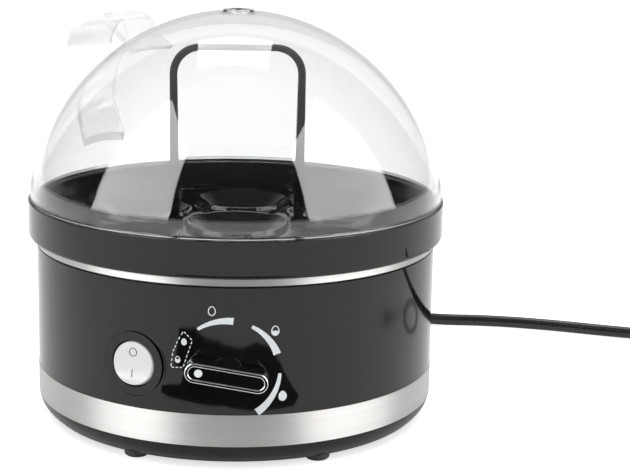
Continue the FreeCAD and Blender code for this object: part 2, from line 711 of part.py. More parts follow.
def switch_terminals():
    """Three flat blades at the back of the switch."""
    back = HOUSING_R - SWITCH_DEPTH
    blades = [block(-3.2, 3.2, -back, -(back - 7), CONTROL_Z + z - 0.4, CONTROL_Z + z + 0.4)
              for z in (-6, 0, 6)]
    return group([turn(blade, SWITCH_AZ) for blade in blades])


# ---- knob ------------------------------------------------------------------
def knob_levels():
    """Distances from the appliance's axis: back of the hub, back of the grip and its front."""
    back = HOUSING_R + KNOB_STANDOFF
    return HOUSING_R + BODY_GAP, back, back + KNOB_BAR_H


def set_knob(shape):
    """A knob piece drawn level on the axis, set at its place and angle."""
    copy = shape.copy()
    copy.translate(V(KNOB_X, 0, 0))
    copy.rotate(V(KNOB_X, 0, CONTROL_Z), V(0, 1, 0), KNOB_TURN)
    return copy


def knob_body():
    """Core of the knob's grip, with the hub that takes the shaft."""
    hub_back, back, tip = knob_levels()
    core_l = KNOB_BAR_L - 2 * KNOB_TRIM_T - 2 * RUN_FIT
    core_w = KNOB_BAR_W - 2 * KNOB_TRIM_T - 2 * RUN_FIT
    body = stadium(core_l, core_w, back - 0.2, tip - KNOB_RECESS)
    body = body.fuse(rod(KNOB_HUB_R, hub_back, back, 0, CONTROL_Z))
    body = body.cut(rod(SHAFT_R + RUN_FIT, hub_back - 1, tip - 3.0, 0, CONTROL_Z))
    dot_seat = rod(DOT_R + RUN_FIT, tip - KNOB_RECESS - 1.0, tip + 1, -DOT_OFFSET, CONTROL_Z)
    return set_knob(body.cut(dot_seat).removeSplitter())


def knob_trim():
    """Bright sleeve round the grip."""
    back, tip = knob_levels()[1:]
    inner_l = KNOB_BAR_L - 2 * KNOB_TRIM_T
    inner_w = KNOB_BAR_W - 2 * KNOB_TRIM_T
    outer = stadium(KNOB_BAR_L, KNOB_BAR_W, back + RUN_FIT, tip)
    return set_knob(outer.cut(stadium(inner_l, inner_w, back - 1, tip + 1)))


def knob_dot():
    """White pointer dot let into one end of the grip."""
    tip = knob_levels()[2]
    return set_knob(rod(DOT_R, tip - KNOB_RECESS - 1.0, tip - KNOB_RECESS + 0.15, -DOT_OFFSET, CONTROL_Z))


def timer_shaft():
    """Steel shaft from the potentiometer into the knob."""
    tip = knob_levels()[2]
    front = BOARD_Y + SLIP_FIT
    return rod(SHAFT_R, front + 1.2, tip - 3.2, KNOB_X, CONTROL_Z)


# ---- egg tray --------------------------------------------------------------
def egg_tray():
    """Tray with seven raised-rim wells, steam holes and sockets for its handle."""
    top = Z_TRAY + TRAY_WALL
    tray = revolve([
        (0, Z_TRAY), (TRAY_DISH_R, Z_TRAY), (TRAY_DISH_R, Z_LEDGE), (TRAY_R, Z_LEDGE),
        (TRAY_R, Z_LEDGE + 1.6), (TRAY_DISH_R - TRAY_WALL, Z_LEDGE + 1.6), (TRAY_DISH_R - TRAY_WALL, top),
        (0, top),
    ])
    well = revolve([
        (WELL_RIM_R + 0.7, Z_TRAY), (WELL_RIM_R + 0.7, top + 0.1), (WELL_RIM_R, top + 1.6),
        (WELL_RIM_R - 1.2, top + 1.6), (WELL_HOLE_R + 1.3, top - WELL_DROP),
        (WELL_HOLE_R, top - WELL_DROP), (WELL_HOLE_R, top - WELL_DROP - 1.8),
        (WELL_HOLE_R + 2.1, top - WELL_DROP - 1.8), (WELL_RIM_R - 2.0, Z_TRAY),
    ])
    opening = disc(WELL_RIM_R - 0.6, Z_TRAY - 1, top + 1)
    for x, y in well_places():
        tray = tray.cut(moved(opening, x, y))
    for x, y in well_places():
        tray = tray.fuse(moved(well, x, y))
    socket = block(-3.6, 3.6, -3.9, 3.9, Z_TRAY, top + 4.0)
    slot = block(-TRAY_HANDLE_FOOT_T / 2 - RUN_FIT, TRAY_HANDLE_FOOT_T / 2 + RUN_FIT,
                 -TRAY_HANDLE_DEPTH / 2 - RUN_FIT, TRAY_HANDLE_DEPTH / 2 + RUN_FIT,
                 top - 0.5, top + 6)
    leg_x = TRAY_HANDLE_HALF - TRAY_HANDLE_FOOT_T / 2
    for side in (-1, 1):
        tray = tray.fuse(turn(moved(socket, side * leg_x, 0), TRAY_HANDLE_TURN))
    for side in (-1, 1):
        tray = tray.cut(turn(moved(slot, side * leg_x, 0), TRAY_HANDLE_TURN))
    for k in range(6):
        inner = outward(60 * k + 30) * (WELL_PITCH_R / math.sqrt(3))
        outer = outward(60 * k + 90) * (WELL_PITCH_R + 18)
        if abs(inner.x) < leg_x - 8:
            tray = tray.cut(disc(STEAM_HOLE_R, Z_TRAY - 1, top + 1, inner.x, inner.y))
        tray = tray.cut(disc(STEAM_HOLE_R, Z_TRAY - 1, top + 1, outer.x, outer.y))
    return tray.removeSplitter()


def well_places():
    """Centres of the seven egg wells: one in the middle and six around it."""
    ring_of_six = [outward(60 * k) * WELL_PITCH_R for k in range(6)]
    return [(0.0, 0.0)] + [(spot.x, spot.y) for spot in ring_of_six]


def moved(shape, x, y):
    """A copy of a shape, moved level."""
    copy = shape.copy()
    copy.translate(V(x, y, 0))
    return copy


def tray_handle():
    """Upright loop that lifts the tray; its legs thicken towards their feet."""
    foot_z = Z_TRAY + TRAY_WALL - 0.4
    top_z = Z_TRAY + TRAY_WALL + TRAY_HANDLE_H
    half = TRAY_HANDLE_HALF
    outer = [V(-half, 0, foot_z), V(-half, 0, top_z), V(half, 0, top_z), V(half, 0, foot_z)]
    in_top = half - TRAY_HANDLE_T - 0.4
    in_foot = half - TRAY_HANDLE_FOOT_T
    straight_z = Z_TRAY + TRAY_WALL + 4.0
    inner = [
        V(in_foot, 0, foot_z), V(in_foot, 0, straight_z), V(in_top, 0, top_z - TRAY_HANDLE_T),
        V(-in_top, 0, top_z - TRAY_HANDLE_T), V(-in_foot, 0, straight_z), V(-in_foot, 0, foot_z),
    ]
    edges = rounded_path(outer, [13.0, 13.0])
    edges.append(Part.LineSegment(outer[-1], inner[0]).toShape())
    edges += rounded_path(inner, [40.0, 10.5, 10.5, 40.0])
    edges.append(Part.LineSegment(inner[-1], outer[0]).toShape())
    return turn(slab(edges, TRAY_HANDLE_DEPTH, V(0, 1, 0)), TRAY_HANDLE_TURN)


# ---- lid -------------------------------------------------------------------
def dome_arc(base_r, apex_z):
    """Centre height and half-axes of the ellipse that the dome's profile follows.

    The profile's squared radius falls as (1 - s)(1 + swell * s), with s from 0 at
    the skirt's top to 1 at the apex, which is an ellipse centred below the skirt.
    """
    rise = apex_z - Z_DOME
    shift = (1 - LID_SWELL) / (2 * LID_SWELL)
    level = 1 + LID_SWELL * shift ** 2
    return Z_DOME - shift * rise, base_r * math.sqrt(level), rise * math.sqrt(level / LID_SWELL)


def dome_edge(base_r, apex_z):
    """The dome's profile from the skirt's top to the apex, as one elliptic edge."""
    centre_z, half_r, half_z = dome_arc(base_r, apex_z)
    ends = (V(0, 0, apex_z), V(half_r, 0, centre_z))
    if half_r > half_z:
        ends = ends[::-1]
    ellipse = Part.Ellipse(*ends, V(0, 0, centre_z))
    start = ellipse.parameter(V(base_r, 0, Z_DOME))
    end = ellipse.parameter(V(0, 0, apex_z))
    low, high = sorted((start, end))
    return ellipse.toShape(low, high)


def dome_solid(base_r, low, apex_z):
    """A solid dome on a straight skirt."""
    edge = dome_edge(base_r, apex_z)
    ends = sorted((vertex.Point for vertex in edge.Vertexes), key=lambda point: point.z)
    foot, apex = ends
    corners = [apex, V(0, 0, low), V(base_r, 0, low), foot]
    edges = [edge]
    edges += [Part.LineSegment(a, b).toShape() for a, b in zip(corners, corners[1:])]
    face = Part.Face(Part.Wire(Part.sortEdges(edges)[0]))
    return face.revolve(V(0, 0, 0), UP, 360)


def lid_dome():
    """Clear lid: straight frosted skirt, dome and a raised steam vent at its top."""
    outer = dome_solid(LID_R, Z_LID, Z_APEX)
    vent = disc(VENT_R, Z_APEX - 3.5, Z_APEX + 0.4)
    inner = dome_solid(LID_R - LID_WALL, Z_LID - 1, Z_APEX - LID_WALL)
    lid = outer.fuse(vent).cut(inner)
    lid = lid.cut(disc(VENT_HOLE_R, Z_APEX - 8, Z_APEX + 2))
    lid = lid.cut(ring(VENT_R - 1.2, VENT_HOLE_R + 0.9, Z_APEX - 0.5, Z_APEX + 2))
    return lid.removeSplitter()


def lid_handle():
    """Ribbon loop that stands on the dome's shoulder."""
    reach = LID_R + LID_HANDLE_REACH
    top = Z_APEX - LID_HANDLE_DROP
    outer = [
        (LID_R - 6.9, Z_LIP + 2.1), (reach, Z_DOME + 27.5), (reach, top), (reach - 26.0, top),
        (reach - 54.0, top - 19.5),
    ]
    radii = [30.0, 20.0, 18.0]
    points = [point_rz(pair) for pair in outer]
    inner = offset_inside(points, LID_HANDLE_T)
    edges = rounded_path(points, radii)
    edges.append(Part.LineSegment(points[-1], inner[-1]).toShape())
    edges += rounded_path(inner[::-1], [radius - LID_HANDLE_T for radius in radii[::-1]])
    edges.append(Part.LineSegment(inner[0], points[0]).toShape())
    ribbon = slab(edges, LID_HANDLE_W, V(0, 1, 0))
    ribbon = ribbon.cut(dome_solid(LID_R + RUN_FIT, Z_LID - 20, Z_APEX + RUN_FIT))
    ribbon.rotate(V(0, 0, 0), UP, -90)
    return turn(ribbon, LID_HANDLE_AZ)


def offset_inside(points, distance):
    """The same chain of corners, moved to the right of its direction of travel."""
    normals = []
    for a, b in zip(points, points[1:]):
        along = (b - a).normalize()
        normals.append(V(-along.z, 0, along.x))
    moved_points = [points[0] + normals[0] * distance]
    for corner, n0, n1 in zip(points[1:], normals, normals[1:]):
        mean = (n0 + n1).normalize()
        moved_points.append(corner + mean * (distance / mean.dot(n0)))
    moved_points.append(points[-1] + normals[-1] * distance)
    return moved_points


# ---- mains cord ------------------------------------------------------------
def cord_bush():
    """Bush that carries the cord through the band and the housing."""
    outside = BAND_R + RUN_FIT
    inside = SHELL_IN_R - 0.4
    parts = [
        rod(BUSH_FLANGE_R, outside, outside + 1.45, 0, Z_BUSH),
        rod(BUSH_R, inside - 3, outside + 1, 0, Z_BUSH),
        rod(BUSH_FLANGE_R, inside - 3, inside, 0, Z_BUSH),
        Part.makeCone(5.4, 4.8, BUSH_NOSE + 0.5, V(0, -(BUSH_END - BUSH_NOSE - 0.5), Z_BUSH), FRONT),
    ]
    return turn(join(parts).cut(rod(CORD_R + RUN_FIT, inside - 5, BUSH_END + 1, 0, Z_BUSH)), BUSH_AZ)


def inner_cord():
    """The cord's straight start: from inside the base, through clamp and bush, to the boot's tip."""
    return turn(rod(CORD_R, CLAMP_AT - 9.5, BOOT_END, 0, Z_BUSH), BUSH_AZ)


def cord_exit():
    """Where the cord leaves the boot's tip."""
    return outward(BUSH_AZ) * BOOT_END + V(0, 0, Z_BUSH)


def cord_boot():
    """Tapered, ribbed strain relief on the cord, behind the bush."""
    boot = Part.makeCone(4.7, 3.6, BOOT_L, V(0, -BUSH_END, Z_BUSH), FRONT)
    pitch = BOOT_L / 6
    for k in range(1, 6):
        start = BUSH_END + pitch * k - 0.7
        core = rod(3.85 - 0.08 * k, start - 1, start + 3, 0, Z_BUSH)
        boot = boot.cut(rod(7.0, start, start + 1.4, 0, Z_BUSH).cut(core))
    return turn(boot.cut(rod(CORD_R + RUN_FIT, BUSH_END - 1, BOOT_END + 1, 0, Z_BUSH)), BUSH_AZ)


def cord_coil():
    """Outer shape of the cord's coiled length: turns side by side with one row on top."""
    wide = 2 * CORD_R + 0.2
    low_in = COIL_R - wide
    low_out = COIL_R + wide
    coil = revolve([
        (low_in, 2.2), (low_in + 2.2, 0), (low_out - 2.2, 0), (low_out, 2.2), (low_out, 5.4),
        (COIL_R + 3.2, 11.4), (COIL_R - 3.2, 11.4), (low_in, 5.4),
    ])
    coil.translate(V(COIL_CENTRE[0], COIL_CENTRE[1], 0))
    return coil


def plug_parts():
    """Moulded two-pole plug with side earth strips, lying on its rim, pins towards -Y."""
    neck_end = V(*TAIL_ROUTE[-1])
    x, y, z = neck_end
    along = FRONT
    neck = Part.makeCone(5.2, 8.2, PLUG_NECK_L, V(x, y, z), along)
    shoulder_y = y - PLUG_NECK_L
    shoulder = Part.makeCone(11.5, PLUG_R - 1.2, 7.0, V(x, shoulder_y + 0.5, z), along)
    drum = Part.makeCylinder(PLUG_R, PLUG_BODY_L - 6.0, V(x, shoulder_y - 6.0, z), along)
    body = join([neck, shoulder, drum])
    face_y = shoulder_y - PLUG_BODY_L
    pins = []
    for side in (-PIN_PITCH / 2, PIN_PITCH / 2):
        body = body.cut(Part.makeCylinder(PIN_R - 0.35, 8, V(x + side, face_y + 8, z), along))
        root = Part.makeCylinder(PIN_R - 0.4, 8, V(x + side, face_y + 7, z), along)
        shank = root.fuse(Part.makeCylinder(PIN_R, PIN_L - 1.2, V(x + side, face_y, z), along))
        tip = Part.makeCone(PIN_R, PIN_R - 0.9, 1.2, V(x + side, face_y - PIN_L + 1.2, z), along)
        pins.append(shank.fuse(tip).removeSplitter())
    strips = []
    for sign in (-1, 1):
        z0, z1 = sorted((z + sign * (PLUG_R - 1.2), z + sign * (PLUG_R + 1)))
        slot = block(x - 2.6, x + 2.6, face_y - 1, face_y + 13, z0, z1)
        body = body.cut(slot)
        z0, z1 = sorted((z + sign * (PLUG_R - 1.2 + RUN_FIT), z + sign * (PLUG_R - 0.6)))
        strips.append(block(x - 2.5, x + 2.5, face_y + 0.2, face_y + 12.9, z0, z1))
    hole = Part.makeCylinder(2.6, 12, V(x, face_y + 11, z - 9.5), along)
    body = body.cut(hole)
    return body.removeSplitter(), group(pins), group(strips)


# ---- write every piece -----------------------------------------------------
def build():
    """All pieces of the appliance, by node name."""
    studs, sleeves = bowl_studs()
    plug, pins, strips = plug_parts()
    leave = cord_exit()
    nodes = {
        "base_pan": base_pan(),
        "base_screws": base_screws(),
        "trim_band": trim_band(),
        "housing_shell": housing_shell(),
        "upper_trim_ring": upper_trim_ring(),
        "collar_ring": collar_ring(),
        "water_bowl": water_bowl(),
        "bowl_gasket": bowl_gasket(),
        "heater_plate": heater_plate(),
        "heating_element": heating_element(),
        "heat_shield": heat_shield(),
        "bowl_studs": studs,
        "stud_sleeves": sleeves,
        "shield_nuts": shield_nuts(),
        "temperature_sensor": temperature_sensor(),
        "sensor_bracket": sensor_bracket(),
        "thermal_fuse": thermal_fuse(),
        "control_board": control_board(),
        "board_screws": board_screws(),
        "potentiometer": potentiometer(),
        "relay": relay(),
        "capacitor": capacitor(),
        "buzzer": buzzer(),
        "terminal_block": terminal_block(),
        "cord_clamp": cord_clamp(),
        "clamp_screws": clamp_screws(),
        "inner_cord": inner_cord(),
        "switch_body": switch_body(),
        "rocker_pin": rocker_pin(),
        "switch_terminals": switch_terminals(),
        "rocker": rocker(),
        "knob_body": knob_body(),
        "knob_trim": knob_trim(),
        "knob_dot": knob_dot(),
        "timer_shaft": timer_shaft(),
        "egg_tray": egg_tray(),
        "tray_handle": tray_handle(),
        "lid_dome": lid_dome(),
        "lid_handle": lid_handle(),
        "cord_bush": cord_bush(),
        "cord_boot": cord_boot(),
        "cord_run": tube("cord_run", [tuple(leave)] + list(CORD_ROUTE), CORD_R),
        "cord_coil": cord_coil(),
        "cord_tail": tube("cord_tail", TAIL_ROUTE, CORD_R),
        "plug_body": plug,
        "plug_pins": pins,
        "plug_earth_strips": strips,
    }
    nodes.update(leads())
    names = ("foot_front_left", "foot_front_right", "foot_rear_right", "foot_rear_left")
    for name, azimuth in zip(names, FOOT_AZ):
        nodes[name] = foot(azimuth)
    return nodes


os.makedirs("parts", exist_ok=True)
for node, shape in build().items():
    if not shape.isValid() or shape.Volume <= 0:
        print("not a sound solid:", node)
    shape.exportStep("parts/%s.step" % node)
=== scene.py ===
"""Looks of a seven-egg electric egg cooker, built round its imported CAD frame.

Metres, +Z up, the CAD's own frame: the origin is on the table under the middle of
the round body, the front with the timer knob faces -Y. Sizes in the classes are in
millimetres, as a maker writes them, and become metres where a mesh is made.
"""
import logging
import math
from dataclasses import dataclass, field
from enum import Enum
from typing import Callable, Optional, Sequence

import bpy
from mathutils import Matrix, Vector


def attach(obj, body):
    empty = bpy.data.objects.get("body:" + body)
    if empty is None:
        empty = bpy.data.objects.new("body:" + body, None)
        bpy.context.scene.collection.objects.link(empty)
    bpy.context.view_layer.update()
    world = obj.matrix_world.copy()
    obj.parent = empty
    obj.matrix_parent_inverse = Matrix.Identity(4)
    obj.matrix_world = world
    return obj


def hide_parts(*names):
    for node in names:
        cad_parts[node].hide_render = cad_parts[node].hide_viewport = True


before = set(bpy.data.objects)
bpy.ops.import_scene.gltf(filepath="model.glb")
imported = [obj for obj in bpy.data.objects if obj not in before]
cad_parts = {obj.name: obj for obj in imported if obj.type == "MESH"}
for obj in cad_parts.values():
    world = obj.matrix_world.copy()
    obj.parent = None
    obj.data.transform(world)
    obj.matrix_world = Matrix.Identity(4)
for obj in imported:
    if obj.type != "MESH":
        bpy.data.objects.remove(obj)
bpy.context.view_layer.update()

LOG = logging.getLogger("egg_cooker")
MM = 0.001
WELD = 2e-6          # metres; CAD corners nearer than this are one point
FLAT = 0.4           # degrees; a turn below this is taken as flat
DUST = (0.42, 0.40, 0.37)
SKIN_DEPTH = (0.002, 0.002, 0.002)

Pair = tuple[float, float]
Triple = tuple[float, float, float]
Color = tuple[float, float, float]


class Body(Enum):
    """The rigid bodies that pieces ride on."""

    BASE = "base"
    TRAY = "egg_tray_set"
    LID = "lid"
    KNOB = "timer_knob"
    ROCKER = "mains_rocker"


class Lay(Enum):
    """The way a brushed or turned surface's lines run."""

    AROUND = "around"
    RINGS = "rings"


# ---- making meshes ---------------------------------------------------------
def clear_selection() -> None:
    """Leave edit mode and deselect everything."""
    if bpy.context.object and bpy.context.object.mode != "OBJECT":
        bpy.ops.object.mode_set(mode="OBJECT")
    bpy.ops.object.select_all(action="DESELECT")


def activate(piece: bpy.types.Object) -> None:
    """Make a piece the only selected object and the active one."""
    clear_selection()
    piece.select_set(True)
    bpy.context.view_layer.objects.active = piece


def edit_all(piece: bpy.types.Object) -> None:
    """Enter edit mode on a piece with its whole mesh selected."""
    activate(piece)
    bpy.ops.object.mode_set(mode="EDIT")
    bpy.ops.mesh.select_all(action="SELECT")


def close_seams(piece: bpy.types.Object, reach: float = 1e-6) -> None:
    """Merge coincident points, drop loose ones and turn all faces outwards.

    Args:
        piece: a mesh object whose shell is closed.
        reach: points nearer than this, in metres, become one.
    """
    edit_all(piece)
    bpy.ops.mesh.remove_doubles(threshold=reach)
    bpy.ops.mesh.delete_loose()
    bpy.ops.mesh.select_all(action="SELECT")
    bpy.ops.mesh.normals_make_consistent(inside=False)
    bpy.ops.object.mode_set(mode="OBJECT")


def add_modifier(piece: bpy.types.Object, kind: str, **settings: object) -> None:
    """Add a modifier with its settings and apply it at once."""
    activate(piece)
    bpy.ops.object.modifier_add(type=kind)
    modifier = piece.modifiers[-1]
    for name, value in settings.items():
        setattr(modifier, name, value)
    bpy.ops.object.modifier_apply(modifier=modifier.name)


def shade(piece: bpy.types.Object, sharp: float = 30.0) -> None:
    """Smooth shading led by the large faces, with edges sharper than an angle kept crisp."""
    activate(piece)
    bpy.ops.object.shade_smooth_by_angle(angle=math.radians(sharp))
    add_modifier(piece, "WEIGHTED_NORMAL", mode="FACE_AREA", keep_sharp=True)


def round_edges(piece: bpy.types.Object, width: float, sharp: float = 35.0, segments: int = 3) -> None:
    """Break a piece's sharp edges with a small radius.

    Args:
        piece: the mesh object.
        width: the bevel's width in millimetres.
        sharp: edges that turn by more than this, in degrees, are rounded.
        segments: faces across each rounding.
    """
    add_modifier(
        piece, "BEVEL", width=width * MM, segments=segments, limit_method="ANGLE",
        angle_limit=math.radians(sharp), use_clamp_overlap=True,
    )
    shade(piece, sharp)


def spun(name: str, outline: Sequence[Pair], steps: int = 192) -> bpy.types.Object:
    """Turn a closed (radius, height) outline about the upright axis.

    Args:
        name: the new object's name.
        outline: corner points in millimetres, in order round the section.
        steps: faces round the full turn.

    Returns:
        The closed ring or shell, at the origin.
    """
    clear_selection()
    bpy.ops.mesh.primitive_circle_add(vertices=len(outline), radius=0.1, fill_type="NOTHING")
    piece = bpy.context.object
    piece.name = name
    for vertex, (radius, height) in zip(piece.data.vertices, outline):
        vertex.co = (radius * MM, 0.0, height * MM)
    edit_all(piece)
    bpy.ops.mesh.spin(steps=steps, angle=math.tau, use_auto_merge=True, center=(0, 0, 0), axis=(0, 0, 1))
    bpy.ops.object.mode_set(mode="OBJECT")
    close_seams(piece)
    return piece


def traced(node: str, name: str, sharp: float = 30.0, bevel: Optional[float] = None) -> bpy.types.Object:
    """A merged, smoothly shaded copy of a CAD node that stands in for it.

    Args:
        node: the CAD node to copy and replace.
        name: the new piece's name.
        sharp: edges that turn by more than this, in degrees, stay crisp.
        bevel: width in millimetres of a rounding on those edges, or None.

    Returns:
        The new piece; the CAD node it copies is hidden.
    """
    clear_selection()
    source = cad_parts[node]
    piece = bpy.data.objects.new(name, source.data.copy())
    piece.data.name = name
    piece.data.materials.clear()
    bpy.context.scene.collection.objects.link(piece)
    activate(piece)
    if piece.data.has_custom_normals:
        bpy.ops.mesh.customdata_custom_splitnormals_clear()
    edit_all(piece)
    bpy.ops.mesh.remove_doubles(threshold=WELD)
    bpy.ops.mesh.dissolve_limited(angle_limit=math.radians(FLAT))
    bpy.ops.object.mode_set(mode="OBJECT")
    if bevel:
        round_edges(piece, bevel, sharp)
    else:
        shade(piece, sharp)
    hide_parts(node)
    return piece


def join(pieces: Sequence[bpy.types.Object], name: str) -> bpy.types.Object:
    """Join pieces into the first of them and name it."""
    clear_selection()
    for piece in pieces:
        piece.select_set(True)
    bpy.context.view_layer.objects.active = pieces[0]
    bpy.ops.object.join()
    pieces[0].name = name
    return pieces[0]


def dress(
    piece: bpy.types.Object, material: bpy.types.Material, body: Optional[Body] = None,
) -> None:
    """Give a piece its one material and, if it is new and body.

    Args:
        piece: the object to dress.
        material: its finish.
        body: the body a new piece rides on; None for a CAD node.
    """
    piece.data.materials.clear()
    piece.data.materials.append(material)
    if body:
        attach(piece, body.value)
    LOG.info("%s: %s", piece.name, material.name)


# ---- making materials ------------------------------------------------------
class Graph:
    """Short calls for building one node tree."""

    def __init__(self, tree: bpy.types.NodeTree) -> None:
        """Start from an empty tree."""
        self.tree = tree
        tree.nodes.clear()

    def add(self, kind: str, inputs: Optional[dict] = None, **settings: object) -> bpy.types.Node:
        """Add a node.

        Args:
            kind: the node's type name without its ShaderNode prefix.
            inputs: socket name or number to a value, or to a socket that feeds it.
            settings: plain attributes of the node.

        Returns:
            The new node.
        """
        node = self.tree.nodes.new(kind if kind.startswith("NodeGroup") else "ShaderNode" + kind)
        for name, value in settings.items():
            setattr(node, name, value)
        return self._feed(node, inputs or {})

    def _feed(self, node: bpy.types.Node, inputs: dict) -> bpy.types.Node:
        """Give a node's inputs, by name or number, their values or the sockets that feed them."""
        for name, value in inputs.items():
            if isinstance(value, bpy.types.NodeSocket):
                self.tree.links.new(value, node.inputs[name])
            else:
                node.inputs[name].default_value = value
        return node

    def effect(self, group: bpy.types.NodeTree, **inputs: object) -> bpy.types.Node:
        """Place a shared effect with its own values, by input name."""
        node = self.tree.nodes.new("ShaderNodeGroup")
        node.node_tree = group
        return self._feed(node, inputs)

    def mix(self, factor: object, first: object, second: object) -> bpy.types.NodeSocket:
        """Blend two colours by a factor socket."""
        node = self.add("Mix", {0: factor}, data_type="RGBA")
        ends = {
            number: value if isinstance(value, bpy.types.NodeSocket) else (*value, 1.0)
            for number, value in ((6, first), (7, second))
        }
        return self._feed(node, ends).outputs[2]

    def remap(self, value: object, low: float, high: float, near: float, far: float) -> bpy.types.NodeSocket:
        """Carry a value from one range to another, with its ends held."""
        node = self.add("MapRange", {0: value, 1: low, 2: high, 3: near, 4: far})
        return node.outputs[0]


class Effect:
    """The shader groups that several finishes share, each built once."""

    _made: dict[str, bpy.types.NodeTree] = {}

    @classmethod
    def _group(
        cls, name: str, inputs: dict[str, tuple[str, object]], outputs: dict[str, str],
        build: Callable[[Graph, bpy.types.Node], dict[str, object]],
    ) -> bpy.types.NodeTree:
        """Make a group once and hand it out after that.

        Args:
            name: the group's name.
            inputs: input name to its socket type and default.
            outputs: output name to its socket type.
            build: fills the tree and returns the socket for each output.

        Returns:
            The node group.
        """
        if name in cls._made:
            return cls._made[name]
        tree = bpy.data.node_groups.new(name, "ShaderNodeTree")
        for label, (kind, default) in inputs.items():
            socket = tree.interface.new_socket(label, in_out="INPUT", socket_type=kind)
            if default is not None:
                socket.default_value = default
        for label, kind in outputs.items():
            tree.interface.new_socket(label, in_out="OUTPUT", socket_type=kind)
        graph = Graph(tree)
        source = graph.add("NodeGroupInput")
        made = build(graph, source)
        sink = graph.add("NodeGroupOutput")
        for label, socket in made.items():
            tree.links.new(socket, sink.inputs[label])
        cls._made[name] = tree
        return tree

    @classmethod
    def grain(cls) -> bpy.types.NodeTree:
        """Fine moulded texture: a varying roughness and a bumped normal."""
        def build(graph: Graph, source: bpy.types.Node) -> dict[str, object]:
            """Fill the group."""
            fine = graph.add("TexNoise", {
                "Vector": source.outputs["Vector"], "Scale": source.outputs["Scale"], "Detail": 3.0,
            })
            wide = graph.add("TexNoise", {"Vector": source.outputs["Vector"], "Scale": 38.0, "Detail": 2.0})
            blend = graph.add("Math", {0: fine.outputs[0], 1: wide.outputs[0]}, operation="ADD")
            half = graph.add("Math", {0: blend.outputs[0], 1: 0.5}, operation="MULTIPLY")
            rough = graph.add("MapRange", {
                0: half.outputs[0], 1: 0.35, 2: 0.65,
                3: source.outputs["Smoothest"], 4: source.outputs["Roughest"],
            })
            bump = graph.add("Bump", {
                "Height": fine.outputs[0], "Distance": source.outputs["Depth"], "Strength": 1.0,
            })
            return {"Roughness": rough.outputs[0], "Normal": bump.outputs[0], "Mask": half.outputs[0]}

        return cls._group(
            "Moulded grain",
            {
                "Vector": ("NodeSocketVector", None), "Scale": ("NodeSocketFloat", 900.0),
                "Depth": ("NodeSocketFloat", 0.00001), "Smoothest": ("NodeSocketFloat", 0.3),
                "Roughest": ("NodeSocketFloat", 0.45),
            },
            {"Roughness": "NodeSocketFloat", "Normal": "NodeSocketVector", "Mask": "NodeSocketFloat"},
            build,
        )

    @classmethod
    def brushing(cls) -> bpy.types.NodeTree:
        """Long fine lines along a stretched vector: a tone, a roughness and a normal."""
        def build(graph: Graph, source: bpy.types.Node) -> dict[str, object]:
            """Fill the group."""
            fine = graph.add("TexNoise", {"Vector": source.outputs["Vector"], "Scale": 1.0, "Detail": 4.0})
            soft = graph.add("TexNoise", {"Vector": source.outputs["Vector"], "Scale": 0.13, "Detail": 2.0})
            rough = graph.add("MapRange", {
                0: fine.outputs[0], 1: 0.3, 2: 0.7,
                3: source.outputs["Smoothest"], 4: source.outputs["Roughest"],
            })
            tone = graph.add("Math", {0: fine.outputs[0], 1: soft.outputs[0]}, operation="ADD")
            spread = graph.add("MapRange", {0: tone.outputs[0], 1: 0.75, 2: 1.25, 3: 0.0, 4: 1.0})
            bump = graph.add("Bump", {
                "Height": fine.outputs[0], "Distance": source.outputs["Depth"], "Strength": 1.0,
            })
            return {"Tone": spread.outputs[0], "Roughness": rough.outputs[0], "Normal": bump.outputs[0]}

        return cls._group(
            "Brushed lines",
            {
                "Vector": ("NodeSocketVector", None), "Depth": ("NodeSocketFloat", 0.000004),
                "Smoothest": ("NodeSocketFloat", 0.2), "Roughest": ("NodeSocketFloat", 0.34),
            },
            {"Tone": "NodeSocketFloat", "Roughness": "NodeSocketFloat", "Normal": "NodeSocketVector"},
            build,
        )

    @classmethod
    def specks(cls) -> bpy.types.NodeTree:
        """Sparse dust on surfaces that look up, as a mask."""
        def build(graph: Graph, source: bpy.types.Node) -> dict[str, object]:
            """Fill the group."""
            cells = graph.add("TexVoronoi", {
                "Vector": source.outputs["Vector"], "Scale": source.outputs["Scale"],
            })
            dots = graph.remap(cells.outputs["Distance"], 0.03, 0.09, 1.0, 0.0)
            cloud = graph.add("TexNoise", {"Vector": source.outputs["Vector"], "Scale": 25.0, "Detail": 3.0})
            patch = graph.remap(cloud.outputs[0], 0.5, 0.7, 0.0, 1.0)
            normal = graph.add("NewGeometry")
            height = graph.add("SeparateXYZ", {0: normal.outputs["Normal"]})
            upward = graph.remap(height.outputs[2], 0.2, 0.9, 0.15, 1.0)
            both = graph.add("Math", {0: dots, 1: patch}, operation="MULTIPLY")
            aimed = graph.add("Math", {0: both.outputs[0], 1: upward}, operation="MULTIPLY")
            amount = graph.add("Math", {
                0: aimed.outputs[0], 1: source.outputs["Amount"],
            }, operation="MULTIPLY")
            return {"Mask": amount.outputs[0]}

        return cls._group(
            "Dust specks",
            {
                "Vector": ("NodeSocketVector", None), "Scale": ("NodeSocketFloat", 420.0),
                "Amount": ("NodeSocketFloat", 0.25),
            },
            {"Mask": "NodeSocketFloat"},
            build,
        )


@dataclass(frozen=True)
class Finish:
    """What every finish has: a name, and a material made from it once."""

    name: str

    def start(self) -> tuple[bpy.types.Material, Graph, bpy.types.NodeSocket]:
        """Begin a material.

        Returns:
            The material, its emptied graph, and the object-space vector.
        """
        material = bpy.data.materials.new(self.name)
        material.use_nodes = True
        graph = Graph(material.node_tree)
        place = graph.add("TexCoord")
        return material, graph, place.outputs["Object"]

    @staticmethod
    def close(graph: Graph, inputs: dict) -> bpy.types.Node:
        """Add the shader and the output, with the shader's inputs."""
        shader = graph.add("BsdfPrincipled", inputs)
        graph.add("OutputMaterial", {"Surface": shader.outputs[0]})
        return shader


